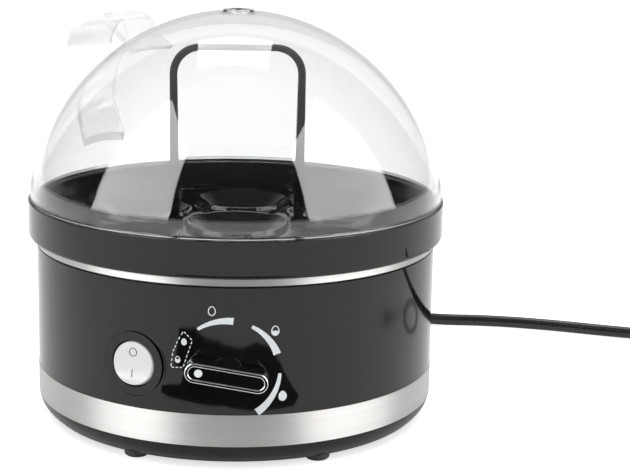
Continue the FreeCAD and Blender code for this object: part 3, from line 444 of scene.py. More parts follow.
@dataclass(frozen=True)
class Moulding(Finish):
    """Moulded plastic or rubber, from high gloss to satin."""

    color: Color = (0.02, 0.02, 0.02)
    second: Color = (0.03, 0.03, 0.03)
    smoothest: float = 0.05
    roughest: float = 0.10
    grain_scale: float = 900.0
    depth: float = 0.000002
    dust: float = 0.2
    ior: float = 1.5
    subsurface: float = 0.0

    def material(self) -> bpy.types.Material:
        """Build the material."""
        material, graph, place = self.start()
        grain = graph.effect(
            Effect.grain(), Vector=place, Scale=self.grain_scale, Depth=self.depth,
            Smoothest=self.smoothest, Roughest=self.roughest,
        )
        specks = graph.effect(Effect.specks(), Vector=place, Amount=self.dust)
        cloud = graph.add("TexNoise", {"Vector": place, "Scale": 14.0, "Detail": 3.0})
        tint = graph.mix(graph.remap(cloud.outputs[0], 0.35, 0.65, 0.0, 1.0), self.color, self.second)
        dusty = graph.mix(specks.outputs["Mask"], tint, DUST)
        self.close(graph, {
            "Base Color": dusty, "Roughness": grain.outputs["Roughness"], "IOR": self.ior,
            "Normal": grain.outputs["Normal"], "Subsurface Weight": self.subsurface,
            "Subsurface Radius": SKIN_DEPTH,
        })
        return material


@dataclass(frozen=True)
class Metal(Finish):
    """Brushed, turned or plated metal."""

    color: Color = (0.62, 0.62, 0.61)
    second: Color = (0.72, 0.72, 0.71)
    smoothest: float = 0.2
    roughest: float = 0.34
    depth: float = 0.000003
    lay: Lay = Lay.AROUND
    smear: float = 0.0

    def material(self) -> bpy.types.Material:
        """Build the material."""
        material, graph, place = self.start()
        if self.lay is Lay.AROUND:
            stretched = graph.add("Mapping", {"Vector": place, "Scale": (22.0, 22.0, 4200.0)}).outputs[0]
        else:
            parts = graph.add("SeparateXYZ", {0: place})
            flat = graph.add("CombineXYZ", {0: parts.outputs[0], 1: parts.outputs[1]})
            radius = graph.add("VectorMath", {0: flat.outputs[0]}, operation="LENGTH")
            across = graph.add("Math", {0: radius.outputs["Value"], 1: 3600.0}, operation="MULTIPLY")
            rise = graph.add("Math", {0: parts.outputs[2], 1: 1800.0}, operation="MULTIPLY")
            stretched = graph.add("CombineXYZ", {0: across.outputs[0], 2: rise.outputs[0]}).outputs[0]
        lines = graph.effect(
            Effect.brushing(), Vector=stretched, Depth=self.depth,
            Smoothest=self.smoothest, Roughest=self.roughest,
        )
        tint = graph.mix(lines.outputs["Tone"], self.color, self.second)
        along = graph.add("Tangent", direction_type="RADIAL", axis="Z")
        self.close(graph, {
            "Base Color": tint, "Metallic": 1.0, "Roughness": lines.outputs["Roughness"],
            "Normal": lines.outputs["Normal"], "Anisotropic": self.smear,
            "Anisotropic Rotation": 0.25, "Tangent": along.outputs[0],
        })
        return material


@dataclass(frozen=True)
class Clear(Finish):
    """Clear or frosted plastic, with faint handling marks."""

    color: Color = (0.97, 0.985, 0.98)
    smoothest: float = 0.0
    roughest: float = 0.02
    ior: float = 1.56
    grain_scale: float = 30.0
    depth: float = 0.0
    clearness: float = 1.0
    cover: float = 1.0

    def material(self) -> bpy.types.Material:
        """Build the material."""
        material, graph, place = self.start()
        grain = graph.effect(
            Effect.grain(), Vector=place, Scale=self.grain_scale, Depth=self.depth,
            Smoothest=self.smoothest, Roughest=self.roughest,
        )
        marks = graph.effect(Effect.specks(), Vector=place, Amount=0.05)
        tint = graph.mix(marks.outputs["Mask"], self.color, tuple(0.8 * part for part in self.color))
        self.close(graph, {
            "Base Color": tint, "Roughness": grain.outputs["Roughness"], "IOR": self.ior,
            "Transmission Weight": self.clearness, "Metallic": 0.0, "Alpha": self.cover,
        })
        return material


@dataclass(frozen=True)
class Ink(Finish):
    """Screen-printed ink with slightly uneven cover."""

    color: Color = (0.68, 0.72, 0.73)
    second: Color = (0.60, 0.64, 0.66)

    def material(self) -> bpy.types.Material:
        """Build the material."""
        material, graph, place = self.start()
        mesh = graph.add("TexVoronoi", {"Vector": place, "Scale": 1900.0})
        cloud = graph.add("TexNoise", {"Vector": place, "Scale": 220.0, "Detail": 3.0})
        cover = graph.add("Math", {0: mesh.outputs["Distance"], 1: cloud.outputs[0]}, operation="MULTIPLY")
        tint = graph.mix(graph.remap(cover.outputs[0], 0.05, 0.4, 0.0, 1.0), self.color, self.second)
        rough = graph.remap(cloud.outputs[0], 0.3, 0.7, 0.28, 0.42)
        self.close(graph, {"Base Color": tint, "Roughness": rough})
        return material


GLOSS_BLACK = Moulding(
    "Gloss black moulding", color=(0.004, 0.0038, 0.004), second=(0.006, 0.0055, 0.006), smoothest=0.03,
    roughest=0.07, grain_scale=260.0, depth=0.0000008, dust=0.1, ior=1.43,
)
SATIN_BLACK = Moulding(
    "Satin black moulding", color=(0.004, 0.004, 0.004), second=(0.007, 0.007, 0.007), smoothest=0.26,
    roughest=0.38, grain_scale=1500.0, depth=0.000008, dust=0.2, ior=1.36,
)
SOFT_RUBBER = Moulding(
    "Soft black rubber", color=(0.010, 0.010, 0.010), second=(0.016, 0.016, 0.016), smoothest=0.48,
    roughest=0.64, grain_scale=1100.0, depth=0.00002, dust=0.35,
)
SHEATH = Moulding(
    "Cord sheath", color=(0.005, 0.005, 0.005), second=(0.009, 0.009, 0.009), smoothest=0.22,
    roughest=0.34, grain_scale=700.0, depth=0.000006, dust=0.1,
)
GREY_SILICONE = Moulding(
    "Grey silicone", color=(0.34, 0.34, 0.35), second=(0.42, 0.42, 0.42), smoothest=0.35, roughest=0.5,
    grain_scale=900.0, depth=0.00001,
)
ROCKER_WHITE = Moulding(
    "Milky rocker", color=(0.72, 0.74, 0.73), second=(0.64, 0.66, 0.65), smoothest=0.08, roughest=0.16,
    grain_scale=500.0, depth=0.000002, dust=0.05, ior=1.5, subsurface=0.25,
)
DOT_WHITE = Moulding(
    "White inlay", color=(0.74, 0.77, 0.78), second=(0.66, 0.70, 0.71), smoothest=0.2, roughest=0.34,
    grain_scale=800.0, depth=0.000006, dust=0.1,
)
CERAMIC = Moulding(
    "Off-white insulator", color=(0.74, 0.73, 0.70), second=(0.66, 0.65, 0.61), smoothest=0.4,
    roughest=0.6, grain_scale=900.0, depth=0.00001, dust=0.3,
)
BOARD_GREEN = Moulding(
    "Solder mask", color=(0.02, 0.16, 0.06), second=(0.03, 0.20, 0.08), smoothest=0.22, roughest=0.34,
    grain_scale=1300.0, depth=0.000008, dust=0.2,
)
BLUE_PART = Moulding(
    "Blue component", color=(0.04, 0.09, 0.28), second=(0.05, 0.11, 0.33), smoothest=0.2, roughest=0.3,
    grain_scale=900.0, depth=0.000005,
)
LEAD_BROWN = Moulding(
    "Brown lead", color=(0.15, 0.06, 0.03), second=(0.19, 0.08, 0.04), smoothest=0.3, roughest=0.45,
    grain_scale=900.0, depth=0.000008,
)
LEAD_BLUE = Moulding(
    "Blue lead", color=(0.03, 0.10, 0.34), second=(0.04, 0.12, 0.40), smoothest=0.3, roughest=0.45,
    grain_scale=900.0, depth=0.000008,
)
LEAD_WHITE = Moulding(
    "White lead", color=(0.72, 0.72, 0.69), second=(0.64, 0.64, 0.61), smoothest=0.35, roughest=0.5,
    grain_scale=900.0, depth=0.000008,
)
MARK_GREY = Ink("Dark grey marking", color=(0.09, 0.09, 0.09), second=(0.12, 0.12, 0.12))
DIAL_INK = Ink("Dial print")
BAND_STEEL = Metal(
    "Brushed band steel", color=(0.455, 0.45, 0.44), second=(0.51, 0.50, 0.49), smoothest=0.36,
    roughest=0.44, depth=0.000001, lay=Lay.AROUND, smear=0.8,
)
BOWL_STEEL = Metal(
    "Turned bowl steel", color=(0.56, 0.56, 0.55), second=(0.68, 0.68, 0.67), smoothest=0.18,
    roughest=0.32, depth=0.000004, lay=Lay.RINGS,
)
PLAIN_STEEL = Metal(
    "Plain zinc-plated steel", color=(0.55, 0.55, 0.54), second=(0.66, 0.66, 0.64), smoothest=0.25,
    roughest=0.42, depth=0.000003, lay=Lay.RINGS,
)
CHROME = Metal(
    "Bright plating", color=(0.80, 0.81, 0.82), second=(0.86, 0.87, 0.88), smoothest=0.05,
    roughest=0.12, depth=0.0000005,
)
ALUMINIUM = Metal(
    "Sheet aluminium", color=(0.62, 0.63, 0.64), second=(0.72, 0.73, 0.74), smoothest=0.3, roughest=0.5,
    depth=0.000005, lay=Lay.RINGS,
)
BRASS = Metal(
    "Plain brass", color=(0.62, 0.45, 0.18), second=(0.74, 0.56, 0.26), smoothest=0.24, roughest=0.4,
)
LID_CLEAR = Clear("Clear lid plastic", color=(0.957, 0.963, 0.966), smoothest=0.0, roughest=0.02, ior=1.46)
LID_FROST = Clear(
    "Frosted skirt", color=(0.95, 0.955, 0.965), smoothest=0.05, roughest=0.09, ior=1.46,
    grain_scale=60.0, depth=0.0, clearness=0.99,
)
HANDLE_CLEAR = Clear(
    "Clear handle plastic", color=(0.98, 0.985, 0.99), smoothest=0.0, roughest=0.02, ior=1.44,
    cover=0.5,
)


class Palette:
    """Hands out each finish's material, made once."""

    def __init__(self) -> None:
        """Start with no material made."""
        self._made: dict[str, bpy.types.Material] = {}

    def get(self, finish: Finish) -> bpy.types.Material:
        """The material of a finish."""
        if finish.name not in self._made:
            self._made[finish.name] = finish.material()
        return self._made[finish.name]


PALETTE = Palette()


@dataclass(frozen=True)
class Row:
    """One traced piece: its CAD node, name, finish, slot and edge rounding in millimetres."""

    node: str
    name: str
    finish: Finish
    slot: str
    bevel: Optional[float]

    def build(self, sharp: float, body: Body) -> bpy.types.Object:
        """Trace the node with edges above an angle crisp, and dress it.

        Args:
            sharp: edges that turn by more than this, in degrees, stay crisp.
            body: the body the piece rides on.

        Returns:
            The finished piece.
        """
        piece = traced(self.node, self.name, sharp, self.bevel)
        dress(piece, PALETTE.get(self.finish), body)
        return piece


# ---- studio ----------------------------------------------------------------
@dataclass
class Panel:
    """A soft light panel: its middle, its aim, its size and its radiance."""

    name: str
    middle: Triple
    aim: Triple
    width: float
    height: float
    radiance: float

    def build(self) -> None:
        """Add the light, facing its aim."""
        clear_selection()
        bpy.ops.object.light_add(type="AREA", location=self.middle)
        light = bpy.context.object
        light.name = self.name
        light.data.shape = "RECTANGLE"
        light.data.size = self.width
        light.data.size_y = self.height
        light.data.energy = self.radiance * math.pi * self.width * self.height
        direction = Vector(self.aim).normalized()
        light.rotation_euler = direction.to_track_quat("-Z", "Y").to_euler()
        light.visible_diffuse = False
        light.visible_camera = False


@dataclass
class Studio:
    """Camera, pale floor and soft light."""

    camera_place: Triple = (0.0354, -0.7505, 0.2525)
    pitch: float = 12.93
    roll: float = 1.09
    lens: float = 97.5
    floor_half: float = 14.0
    floor_tone: Color = (0.92, 0.92, 0.915)
    floor_glow: float = 0.22
    painted_glow_near: float = 0.45
    glow_reach: Pair = (0.12, 0.45)
    room_dark: float = 0.07
    room_light: float = 0.95
    ceiling: float = 0.35
    card_lift: float = 0.0015
    fills: tuple[tuple[str, float, float, float], ...] = (
        ("overhead_fill", 2.0, 0.0, 80.0), ("front_fill", 1.25, 62.0, 50.0),
    )
    card: tuple[Pair, ...] = (
        (-0.120, -0.268), (-0.085, -0.284), (-0.060, -0.274), (-0.024, -0.272), (0.027, -0.261),
        (0.058, -0.266), (0.085, -0.249), (0.091, -0.215), (0.089, -0.156), (0.075, -0.148),
        (0.032, -0.160), (-0.006, -0.169), (-0.048, -0.166), (-0.086, -0.158), (-0.092, -0.166),
        (-0.086, -0.175), (-0.070, -0.185), (-0.074, -0.204), (-0.094, -0.208),
    )

    def build(self) -> None:
        """Make the whole stage."""
        self._camera()
        self._floor()
        self._dark_card()
        self._room()
        for panel in self._panels():
            panel.build()
            LOG.info("%s: light", panel.name)

    def _camera(self) -> None:
        """The viewing camera."""
        clear_selection()
        bpy.ops.object.camera_add(location=self.camera_place)
        camera = bpy.context.object
        tilt = Matrix.Rotation(math.radians(90.0 - self.pitch), 4, "X")
        lean = Matrix.Rotation(math.radians(self.roll), 4, "Z")
        camera.rotation_euler = (tilt @ lean).to_euler()
        camera.data.sensor_width = 36.0
        camera.data.lens = self.lens
        camera.data.clip_end = 60.0
        bpy.context.scene.camera = camera

    def _floor(self) -> None:
        """The pale floor, with painted light near the object that lifts its contact shadow as the camera sees
        it.
        """
        clear_selection()
        bpy.ops.mesh.primitive_plane_add(size=2 * self.floor_half, location=(0, 0, 0))
        floor = bpy.context.object
        floor.name = "studio_floor"
        material = bpy.data.materials.new("Pale floor")
        material.use_nodes = True
        graph = Graph(material.node_tree)
        place = graph.add("TexCoord")
        cloud = graph.add("TexNoise", {"Vector": place.outputs["Object"], "Scale": 3.0, "Detail": 2.0})
        shadier = tuple(0.985 * part for part in self.floor_tone)
        tone = graph.mix(cloud.outputs[0], self.floor_tone, shadier)
        # painted light: a glow that only the camera sees, strongest near the object, which washes out the
        # contact shadow there
        reach = graph.add("VectorMath", {0: place.outputs["Object"]}, operation="LENGTH")
        near = graph.remap(reach.outputs["Value"], *self.glow_reach, self.painted_glow_near, 0.0)
        path = graph.add("LightPath")
        seen = graph.add("Math", {0: path.outputs["Is Camera Ray"], 1: near}, operation="MULTIPLY")
        glow = graph.add("Math", {0: seen.outputs[0], 1: self.floor_glow}, operation="ADD").outputs[0]
        Finish.close(graph, {
            "Base Color": tone, "Roughness": 0.7, "Specular IOR Level": 0.2,
            "Emission Color": (1.0, 1.0, 1.0, 1.0), "Emission Strength": glow,
        })
        floor.data.materials.append(material)

    def _dark_card(self) -> None:
        """A black card lying in front, seen only as the dark patch that the housing mirrors."""
        clear_selection()
        bpy.ops.mesh.primitive_circle_add(vertices=len(self.card), radius=0.1, fill_type="NGON")
        card = bpy.context.object
        card.name = "studio_card"
        for vertex, (x, y) in zip(card.data.vertices, self.card):
            vertex.co = (x, y, self.card_lift)
        close_seams(card)
        if card.data.polygons[0].normal.z < 0:
            card.data.flip_normals()
        material = bpy.data.materials.new("Black card")
        material.use_nodes = True
        graph = Graph(material.node_tree)
        place = graph.add("TexCoord")
        cloud = graph.add("TexNoise", {"Vector": place.outputs["Object"], "Scale": 40.0})
        tone = graph.mix(cloud.outputs[0], (0.001, 0.001, 0.001), (0.006, 0.003, 0.003))
        Finish.close(graph, {"Base Color": tone, "Roughness": 0.9, "Specular IOR Level": 0.0})
        card.data.materials.append(material)
        card.visible_camera = False
        card.visible_diffuse = False
        card.visible_shadow = False

    def _room(self) -> None:
        """A room that is light behind and dark in front, and fills that nothing mirrors."""
        world = bpy.data.worlds.new("Studio room")
        world.use_nodes = True
        bpy.context.scene.world = world
        graph = Graph(world.node_tree)
        place = graph.add("TexCoord")
        parts = graph.add("SeparateXYZ", {0: place.outputs["Generated"]})
        behind = graph.remap(parts.outputs[1], 0.30, 0.80, self.room_dark, self.room_light)
        above = graph.remap(parts.outputs[2], 0.40, 0.90, 0.0, self.ceiling)
        tone = graph.add("Math", {0: behind, 1: above}, operation="MAXIMUM").outputs[0]
        background = graph.add("Background", {"Strength": tone})
        graph.add("OutputWorld", {"Surface": background.outputs[0]})
        for name, strength, lean, softness in self.fills:
            clear_selection()
            bpy.ops.object.light_add(type="SUN", location=(0, 0, 4), rotation=(math.radians(lean), 0, 0))
            sun = bpy.context.object
            sun.name = name
            sun.data.energy = strength
            sun.data.angle = math.radians(softness)
            sun.visible_glossy = False
            sun.visible_transmission = False
        bpy.context.scene.view_settings.view_transform = "Standard"

    @staticmethod
    def _panels() -> list[Panel]:
        """Tall panels left and right, and one overhead behind the lid."""
        return [
            Panel("left_panel", (-3.0, -2.49, 2.8), (1, 0, 0), 4.02, 5.58, 5.6),
            Panel("right_panel", (3.0, -1.5, 2.33), (-1, 0, 0), 3.78, 4.64, 5.2),
            Panel("top_panel", (-0.15, 1.35, 3.13), (0, 0, -1), 1.5, 1.5, 5.0),
        ]


# ---- mains cord ------------------------------------------------------------
@dataclass
class MainsCord:
    """Cord from the strain relief, along the table and round its coil to the plug."""

    diameter: float = 6.0
    length: float = 0.90
    exit: Triple = (50.08, 107.39, 18.05)
    route: tuple[Triple, ...] = (
        (56.42, 120.99, 18.05), (67.3, 132.4, 12.2), (83.5, 138.2, 5.2), (103.0, 140.2, 3.0),
        (125.5, 140.2, 3.0), (147.5, 137.0, 3.0), (168.5, 131.6, 3.0), (189.5, 124.8, 3.0),
        (211.0, 118.8, 3.0), (232.0, 111.9, 3.0), (251.6, 105.4, 3.0),
    )
    tail: tuple[Triple, ...] = (
        (274.5, 62.0, 9.2), (274.5, 49.0, 9.4), (274.5, 36.0, 13.5), (274.5, 23.5, 19.0),
        (274.5, 11.0, 19.0),
    )
    onward: tuple[Triple, ...] = (
        (262.0, 102.0, 3.0), (300.0, 90.0, 3.0), (350.0, 74.5, 3.0), (412.0, 55.0, 3.0),
    )
    coil_centre: Pair = (243.0, 70.0)
    coil_start: float = 76.0
    outer_turn: float = 37.7
    turn_pitch: float = 6.2
    top_turn: float = 31.8
    step: float = 20.0
    sweep: float = 1150.0
    climb_from: float = 720.0
    climb_to: float = 810.0
    settled_after: float = 90.0
    turn_gap: float = 0.2
    mirrored_share: float = 0.9
    fittings: tuple[Row, ...] = (
        Row("cord_boot", "eased_cord_boot", SOFT_RUBBER, "rubber_black", 0.25),
        Row("plug_body", "eased_plug_body", SOFT_RUBBER, "rubber_black", 0.6),
        Row("plug_pins", "eased_plug_pins", CHROME, "chrome_trim", 0.3),
        Row("plug_earth_strips", "eased_plug_earth_strips", BRASS, "brass_part", 0.1),
    )

    def coil_points(self) -> list[Triple]:
        """Control points of the coil's turns, clockwise from above."""
        swell = 1.0 / math.cos(math.radians(self.step / 2))
        points = []
        turned = self.step
        while turned <= self.sweep:
            flat = min(turned, self.climb_from)
            radius = self.outer_turn - self.turn_pitch * flat / 360.0
            rise = min(1.0, max(0.0, (turned - self.climb_from) / (self.climb_to - self.climb_from)))
            over = min(1.0, max(0.0, (turned - self.climb_to) / self.settled_after))
            radius += (self.top_turn - radius) * over
            angle = math.radians(self.coil_start - turned)
            points.append((
                self.coil_centre[0] + radius * swell * math.cos(angle),
                self.coil_centre[1] + radius * swell * math.sin(angle),
                self.diameter / 2 + rise * (self.diameter + self.turn_gap),
            ))
            turned += self.step
        return points

    def _tube(self, name: str, points: Sequence[Triple], diameter: float) -> bpy.types.Object:
        """A round tube along control points, all in millimetres.

        Args:
            name: the tube's name.
            points: its control points.
            diameter: its thickness.

        Returns:
            The curve object.
        """
        clear_selection()
        curve = bpy.data.curves.new(name, "CURVE")
        curve.dimensions = "3D"
        spline = curve.splines.new("NURBS")
        spline.points.add(len(points) - 1)
        for point, (x, y, z) in zip(spline.points, points):
            point.co = (x * MM, y * MM, z * MM, 1.0)
        spline.order_u = 3
        spline.use_endpoint_u = True
        spline.resolution_u = 8
        curve.bevel_depth = diameter / 2 * MM
        curve.bevel_resolution = 6
        curve.use_fill_caps = True
        tube = bpy.data.objects.new(name, curve)
        bpy.context.scene.collection.objects.link(tube)
        return tube

    def _mirrored_line(self) -> None:
        """A cord laid straight on, which only the housing's gloss shows."""
        points = [self.exit, *self.route[:-1], *self.onward]
        line = self._tube("studio_cord_mirror", points, self.mirrored_share * self.diameter)
        activate(line)
        bpy.ops.object.convert(target="MESH")
        line.data.materials.append(PALETTE.get(SHEATH))
        line.visible_camera = False
        line.visible_diffuse = False
        line.visible_shadow = False
        line.visible_transmission = False

    def build(self) -> None:
        """Make the cord and dress what is on it."""
        self._mirrored_line()
        points = [self.exit, *self.route, *self.coil_points(), *self.tail]
        cord = self._tube("mains_cord", points, self.diameter)
        cord.visible_glossy = False
        cord.visible_shadow = False
        dress(cord, PALETTE.get(SHEATH), Body.BASE)
        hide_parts("cord_run", "cord_coil", "cord_tail")
        self._fittings()

    def _fittings(self) -> list[bpy.types.Object]:
        """Strain relief, plug, pins and earth strips, with eased edges."""
        made = [row.build(30.0, Body.BASE) for row in self.fittings]
        for piece in made:
            piece.visible_glossy = False
            piece.visible_shadow = False
        return made


# ---- lid -------------------------------------------------------------------
@dataclass
class Lid:
    """Clear dome on a frosted skirt, with a raised vent ring and a ribbon handle."""

    skirt_radius: float = 91.4
    wall: float = 2.0
    bead: float = 0.45
    bead_span: tuple[float, float, float, float] = (1.2, 1.4, 1.8, 2.0)
    frost_from: float = 2.1
    seat: float = 97.6
    shoulder: float = 105.5
    rise: float = 75.6
    swell: float = 0.6
    vent_radius: float = 6.75
    vent_hole: float = 3.6
    vent_lip: float = 0.4
    vent_dish: float = 0.5
    vent_rims: Pair = (1.2, 0.9)
    steps: int = 44

    def _half(self, radius: float, rise: float, stop: float) -> list[Pair]:
        """Points up one side of the dome until its radius falls to a stop."""
        points = []
        for k in range(self.steps + 1):
            share = 1.0 - (1.0 - k / self.steps) ** 2
            r = radius * math.sqrt(max(0.0, (1.0 - share) * (1.0 + self.swell * share)))
            if r <= stop:
                break
            points.append((r, self.shoulder + rise * share))
        left = (stop / radius) ** 2 / (1.0 + self.swell)
        points.append((stop, self.shoulder + rise * (1.0 - left)))
        return points

    def build(self) -> None:
        """Make the lid's pieces."""
        apex = self.shoulder + self.rise
        outside = self._half(self.skirt_radius, self.rise, self.vent_radius)
        inside = self._half(self.skirt_radius - self.wall, self.rise - self.wall, self.vent_hole)
        lip, dish = apex + self.vent_lip, apex - self.vent_dish
        outer, inner = self.vent_radius - self.vent_rims[0], self.vent_hole + self.vent_rims[1]
        vent = [
            (self.vent_radius, lip), (outer, lip), (outer, dish), (inner, dish), (inner, lip),
            (self.vent_hole, lip),
        ]
        heights = [self.seat + above for above in self.bead_span]
        proud = self.skirt_radius + self.bead
        rim = [
            (self.skirt_radius, self.seat), (self.skirt_radius, heights[0]), (proud, heights[1]),
            (proud, heights[2]), (self.skirt_radius, heights[3]),
        ]
        outline = [*rim, *outside, *vent, *reversed(inside)]
        outline.append((self.skirt_radius - self.wall, self.seat))
        dome = spun("dome_shell", outline)
        round_edges(dome, 0.18, 40.0, 2)
        dress(dome, PALETTE.get(LID_CLEAR), Body.LID)
        dome.data.materials.append(PALETTE.get(LID_FROST))
        for face in dome.data.polygons:
            if self.seat + self.frost_from < face.center.z / MM < self.shoulder - 0.05:
                face.material_index = 1
        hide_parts("lid_dome")
        handle = traced("lid_handle", "ribbon_handle", 28.0, 0.8)
        dress(handle, PALETTE.get(HANDLE_CLEAR), Body.LID)


# ---- egg tray --------------------------------------------------------------
@dataclass
class EggTray:
    """Black tray with shallow steps in its wall, and its arch handle."""

    wall_radius: float = 77.60
    floor: float = 84.50
    rim: float = 89.90
    step: float = 0.8
    step_shares: Pair = (0.34, 0.67)
    root: float = 0.5

    def _wall_steps(self) -> bpy.types.Object:
        """Two shallow steps running round inside the wall."""
        low, root = self.floor - self.root, self.wall_radius + self.root
        lower, upper = (self.floor + share * (self.rim - self.floor) for share in self.step_shares)
        middle, inner = self.wall_radius - self.step, self.wall_radius - 2 * self.step
        ring = spun("tray_steps", [
            (inner, low), (root, low), (root, upper), (middle, upper), (middle, lower), (inner, lower),
        ])
        round_edges(ring, 0.25)
        return ring

    def build(self) -> None:
        """Make the tray and its handle."""
        steps = self._wall_steps()
        tray = traced("egg_tray", "well_tray", 30.0, 0.45)
        join([tray, steps], "well_tray")
        dress(tray, PALETTE.get(GLOSS_BLACK), Body.TRAY)
        arch = traced("tray_handle", "arch_handle", 30.0, 0.7)
        dress(arch, PALETTE.get(GLOSS_BLACK), Body.TRAY)


# ---- base ------------------------------------------------------------------
@dataclass
class Housing:
    """Collar, housing, steel bands, pan and feet."""

    collar: tuple[Pair, ...] = (
        (81.0, 81.3), (85.6, 81.3), (85.6, 82.5), (91.2, 82.5), (92.12, 82.88), (92.5, 83.8),
        (92.5, 84.4), (92.5, 97.6), (92.5, 98.1), (92.4, 98.33), (92.2, 98.4), (91.75, 98.4),
        (91.75, 97.3), (88.0, 97.3), (88.0, 93.5), (86.0, 93.5), (86.0, 88.3), (81.0, 88.3),
    )
    pieces: tuple[Row, ...] = (
        Row("housing_shell", "housing", GLOSS_BLACK, "black_gloss", None),
        Row("trim_band", "broad_band", BAND_STEEL, "steel_satin", None),
        Row("upper_trim_ring", "narrow_band", BAND_STEEL, "steel_satin", None),
        Row("base_pan", "pan", SATIN_BLACK, "black_satin", None),
        Row("water_bowl", "bowl", BOWL_STEEL, "steel_inner", None),
        Row("foot_front_left", "front_left_foot", SOFT_RUBBER, "rubber_black", 0.3),
        Row("foot_front_right", "front_right_foot", SOFT_RUBBER, "rubber_black", 0.3),
        Row("foot_rear_left", "rear_left_foot", SOFT_RUBBER, "rubber_black", 0.3),
        Row("foot_rear_right", "rear_right_foot", SOFT_RUBBER, "rubber_black", 0.3),
        Row("cord_bush", "bush", SOFT_RUBBER, "rubber_black", 0.2),
    )

    def build(self) -> None:
        """Make the outer pieces of the base."""
        collar = spun("collar", self.collar, 256)
        round_edges(collar, 0.2, 32.0, 2)
        dress(collar, PALETTE.get(GLOSS_BLACK), Body.BASE)
        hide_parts("collar_ring")
        for row in self.pieces:
            row.build(25.0, Body.BASE)


# ---- controls --------------------------------------------------------------
@dataclass
class DialPrint:
    """Pale marks printed on the housing round the timer knob."""

    centre: Pair = (1.0, 43.6)
    surface: float = 88.94
    film: float = 0.05
    arc_radius: float = 21.2
    arcs: tuple[tuple[float, float, float, float], ...] = (
        (-35.3, 6.1, 1.2, 3.0), (27.3, 70.7, 1.4, 3.1), (93.3, 145.5, 1.3, 3.2),
    )
    egg_half: Pair = (1.6, 2.05)
    line: float = 0.42
    eggs: tuple[tuple[str, float, float, float, float], ...] = (
        ("soft_egg", -6.5, 25.2, 1.0, 0.0), ("medium_egg", 19.1, 16.9, 1.05, 0.5),
        ("hard_egg", 22.4, -10.9, 1.05, 1.0), ("warm_egg", -17.8, 11.7, 0.72, 1.0),
        ("cold_egg", -20.4, 4.0, 0.72, 0.55),
    )
    dash_corners: tuple[Pair, ...] = (
        (-18.0, 16.2), (-14.4, 12.5), (-18.2, 0.8), (-23.2, 0.5), (-22.4, 7.0), (-20.4, 12.0),
    )
    dash_half: float = 0.2
    dash_pitch: float = 2.0
    dash_span: Pair = (0.22, 0.80)

    def _sheet(
        self, name: str, count: int, inner: Callable[[float], Pair], outer: Callable[[float], Pair],
    ) -> bpy.types.Object:
        """A thin film between two lines, laid on the housing.

        Args:
            name: the film's name.
            count: faces along it.
            inner: (x, z) from the dial's middle at a share from 0 to 1.
            outer: the other side's (x, z).

        Returns:
            The closed film.
        """
        clear_selection()
        bpy.ops.mesh.primitive_grid_add(x_subdivisions=count, y_subdivisions=1, size=2.0)
        film = bpy.context.object
        film.name = name
        for vertex in film.data.vertices:
            share = (vertex.co.x + 1.0) / 2.0
            x, z = (inner if vertex.co.y < 0 else outer)(share)
            x += self.centre[0]
            y = -math.sqrt(self.surface ** 2 - x ** 2)
            vertex.co = (x * MM, y * MM, (z + self.centre[1]) * MM)
        edit_all(film)
        bpy.ops.mesh.remove_doubles(threshold=1e-6)
        bpy.ops.mesh.normals_make_consistent(inside=False)
        bpy.ops.object.mode_set(mode="OBJECT")
        if film.data.polygons[0].normal.y > 0:
            film.data.flip_normals()
        add_modifier(film, "SOLIDIFY", thickness=self.film * MM, offset=1.0)
        return film

    def _arc(self, name: str, start: float, end: float, thin: float, thick: float) -> bpy.types.Object:
        """A band that widens clockwise, between two dial angles in degrees."""
        def side(sign: float) -> Callable[[float], Pair]:
            """One edge of the band."""
            def edge(share: float) -> Pair:
                """The edge's place at a share of the way."""
                angle = math.radians(start + (end - start) * share)
                radius = self.arc_radius + sign * (thin + (thick - thin) * share) / 2
                return radius * math.sin(angle), radius * math.cos(angle)
            return edge
        return self._sheet(name, 24, side(-1.0), side(1.0))

    @staticmethod
    def _oval(x: float, z: float, wide: float, tall: float) -> Callable[[float], Pair]:
        """The outline of an egg about a place, from its top round and back."""
        def edge(share: float) -> Pair:
            """The outline's place at a share of the way round."""
            angle = math.tau * share
            belly = 1.0 - 0.10 * math.cos(angle)
            return x + wide * belly * math.sin(angle), z + tall * math.cos(angle)
        return edge

    def _egg(self, name: str, x: float, z: float, size: float, filled: float) -> list[bpy.types.Object]:
        """An egg icon: its outline, filled from below to a share of its height."""
        wide, tall = self.egg_half[0] * size, self.egg_half[1] * size
        line = self.line * (0.5 + 0.5 * size)
        made = [self._sheet(
            name + "_outline", 28, self._oval(x, z, wide - line, tall - line), self._oval(x, z, wide, tall),
        )]
        if filled > 0:
            reach = math.pi * filled
            def low(share: float) -> Pair:
                """The lower, curved edge of the filling."""
                angle = math.pi + reach * (2 * share - 1)
                return self._oval(x, z, wide - line * 0.7, tall - line * 0.7)(angle / math.tau)
            def high(share: float) -> Pair:
                """The filling's straight upper edge."""
                first, last = low(0.0), low(1.0)
                return first[0] + (last[0] - first[0]) * share, first[1]
            made.append(self._sheet(name + "_filling", 20, high, low))
        return made

    def _dashes(self) -> list[bpy.types.Object]:
        """The dashed outline round the two reheating icons."""
        corners = self.dash_corners
        made = []
        for number, (a, b) in enumerate(zip(corners, corners[1:] + corners[:1])):
            length = math.dist(a, b)
            along = ((b[0] - a[0]) / length, (b[1] - a[1]) / length)
            across = (-along[1] * self.dash_half, along[0] * self.dash_half)
            count = max(1, round(length / self.dash_pitch))
            for k in range(count):
                begin = length * (k + self.dash_span[0]) / count
                stop = length * (k + self.dash_span[1]) / count
                def side(sign: float, begin: float = begin, stop: float = stop) -> Callable[[float], Pair]:
                    """One edge of a dash."""
                    def edge(share: float) -> Pair:
                        """The edge's place at a share of the dash."""
                        way = begin + (stop - begin) * share
                        x, z = (a[i] + along[i] * way + sign * across[i] for i in (0, 1))
                        return x, z
                    return edge
                made.append(self._sheet(f"dash_{number}_{k}", 2, side(-1.0), side(1.0)))
        return made

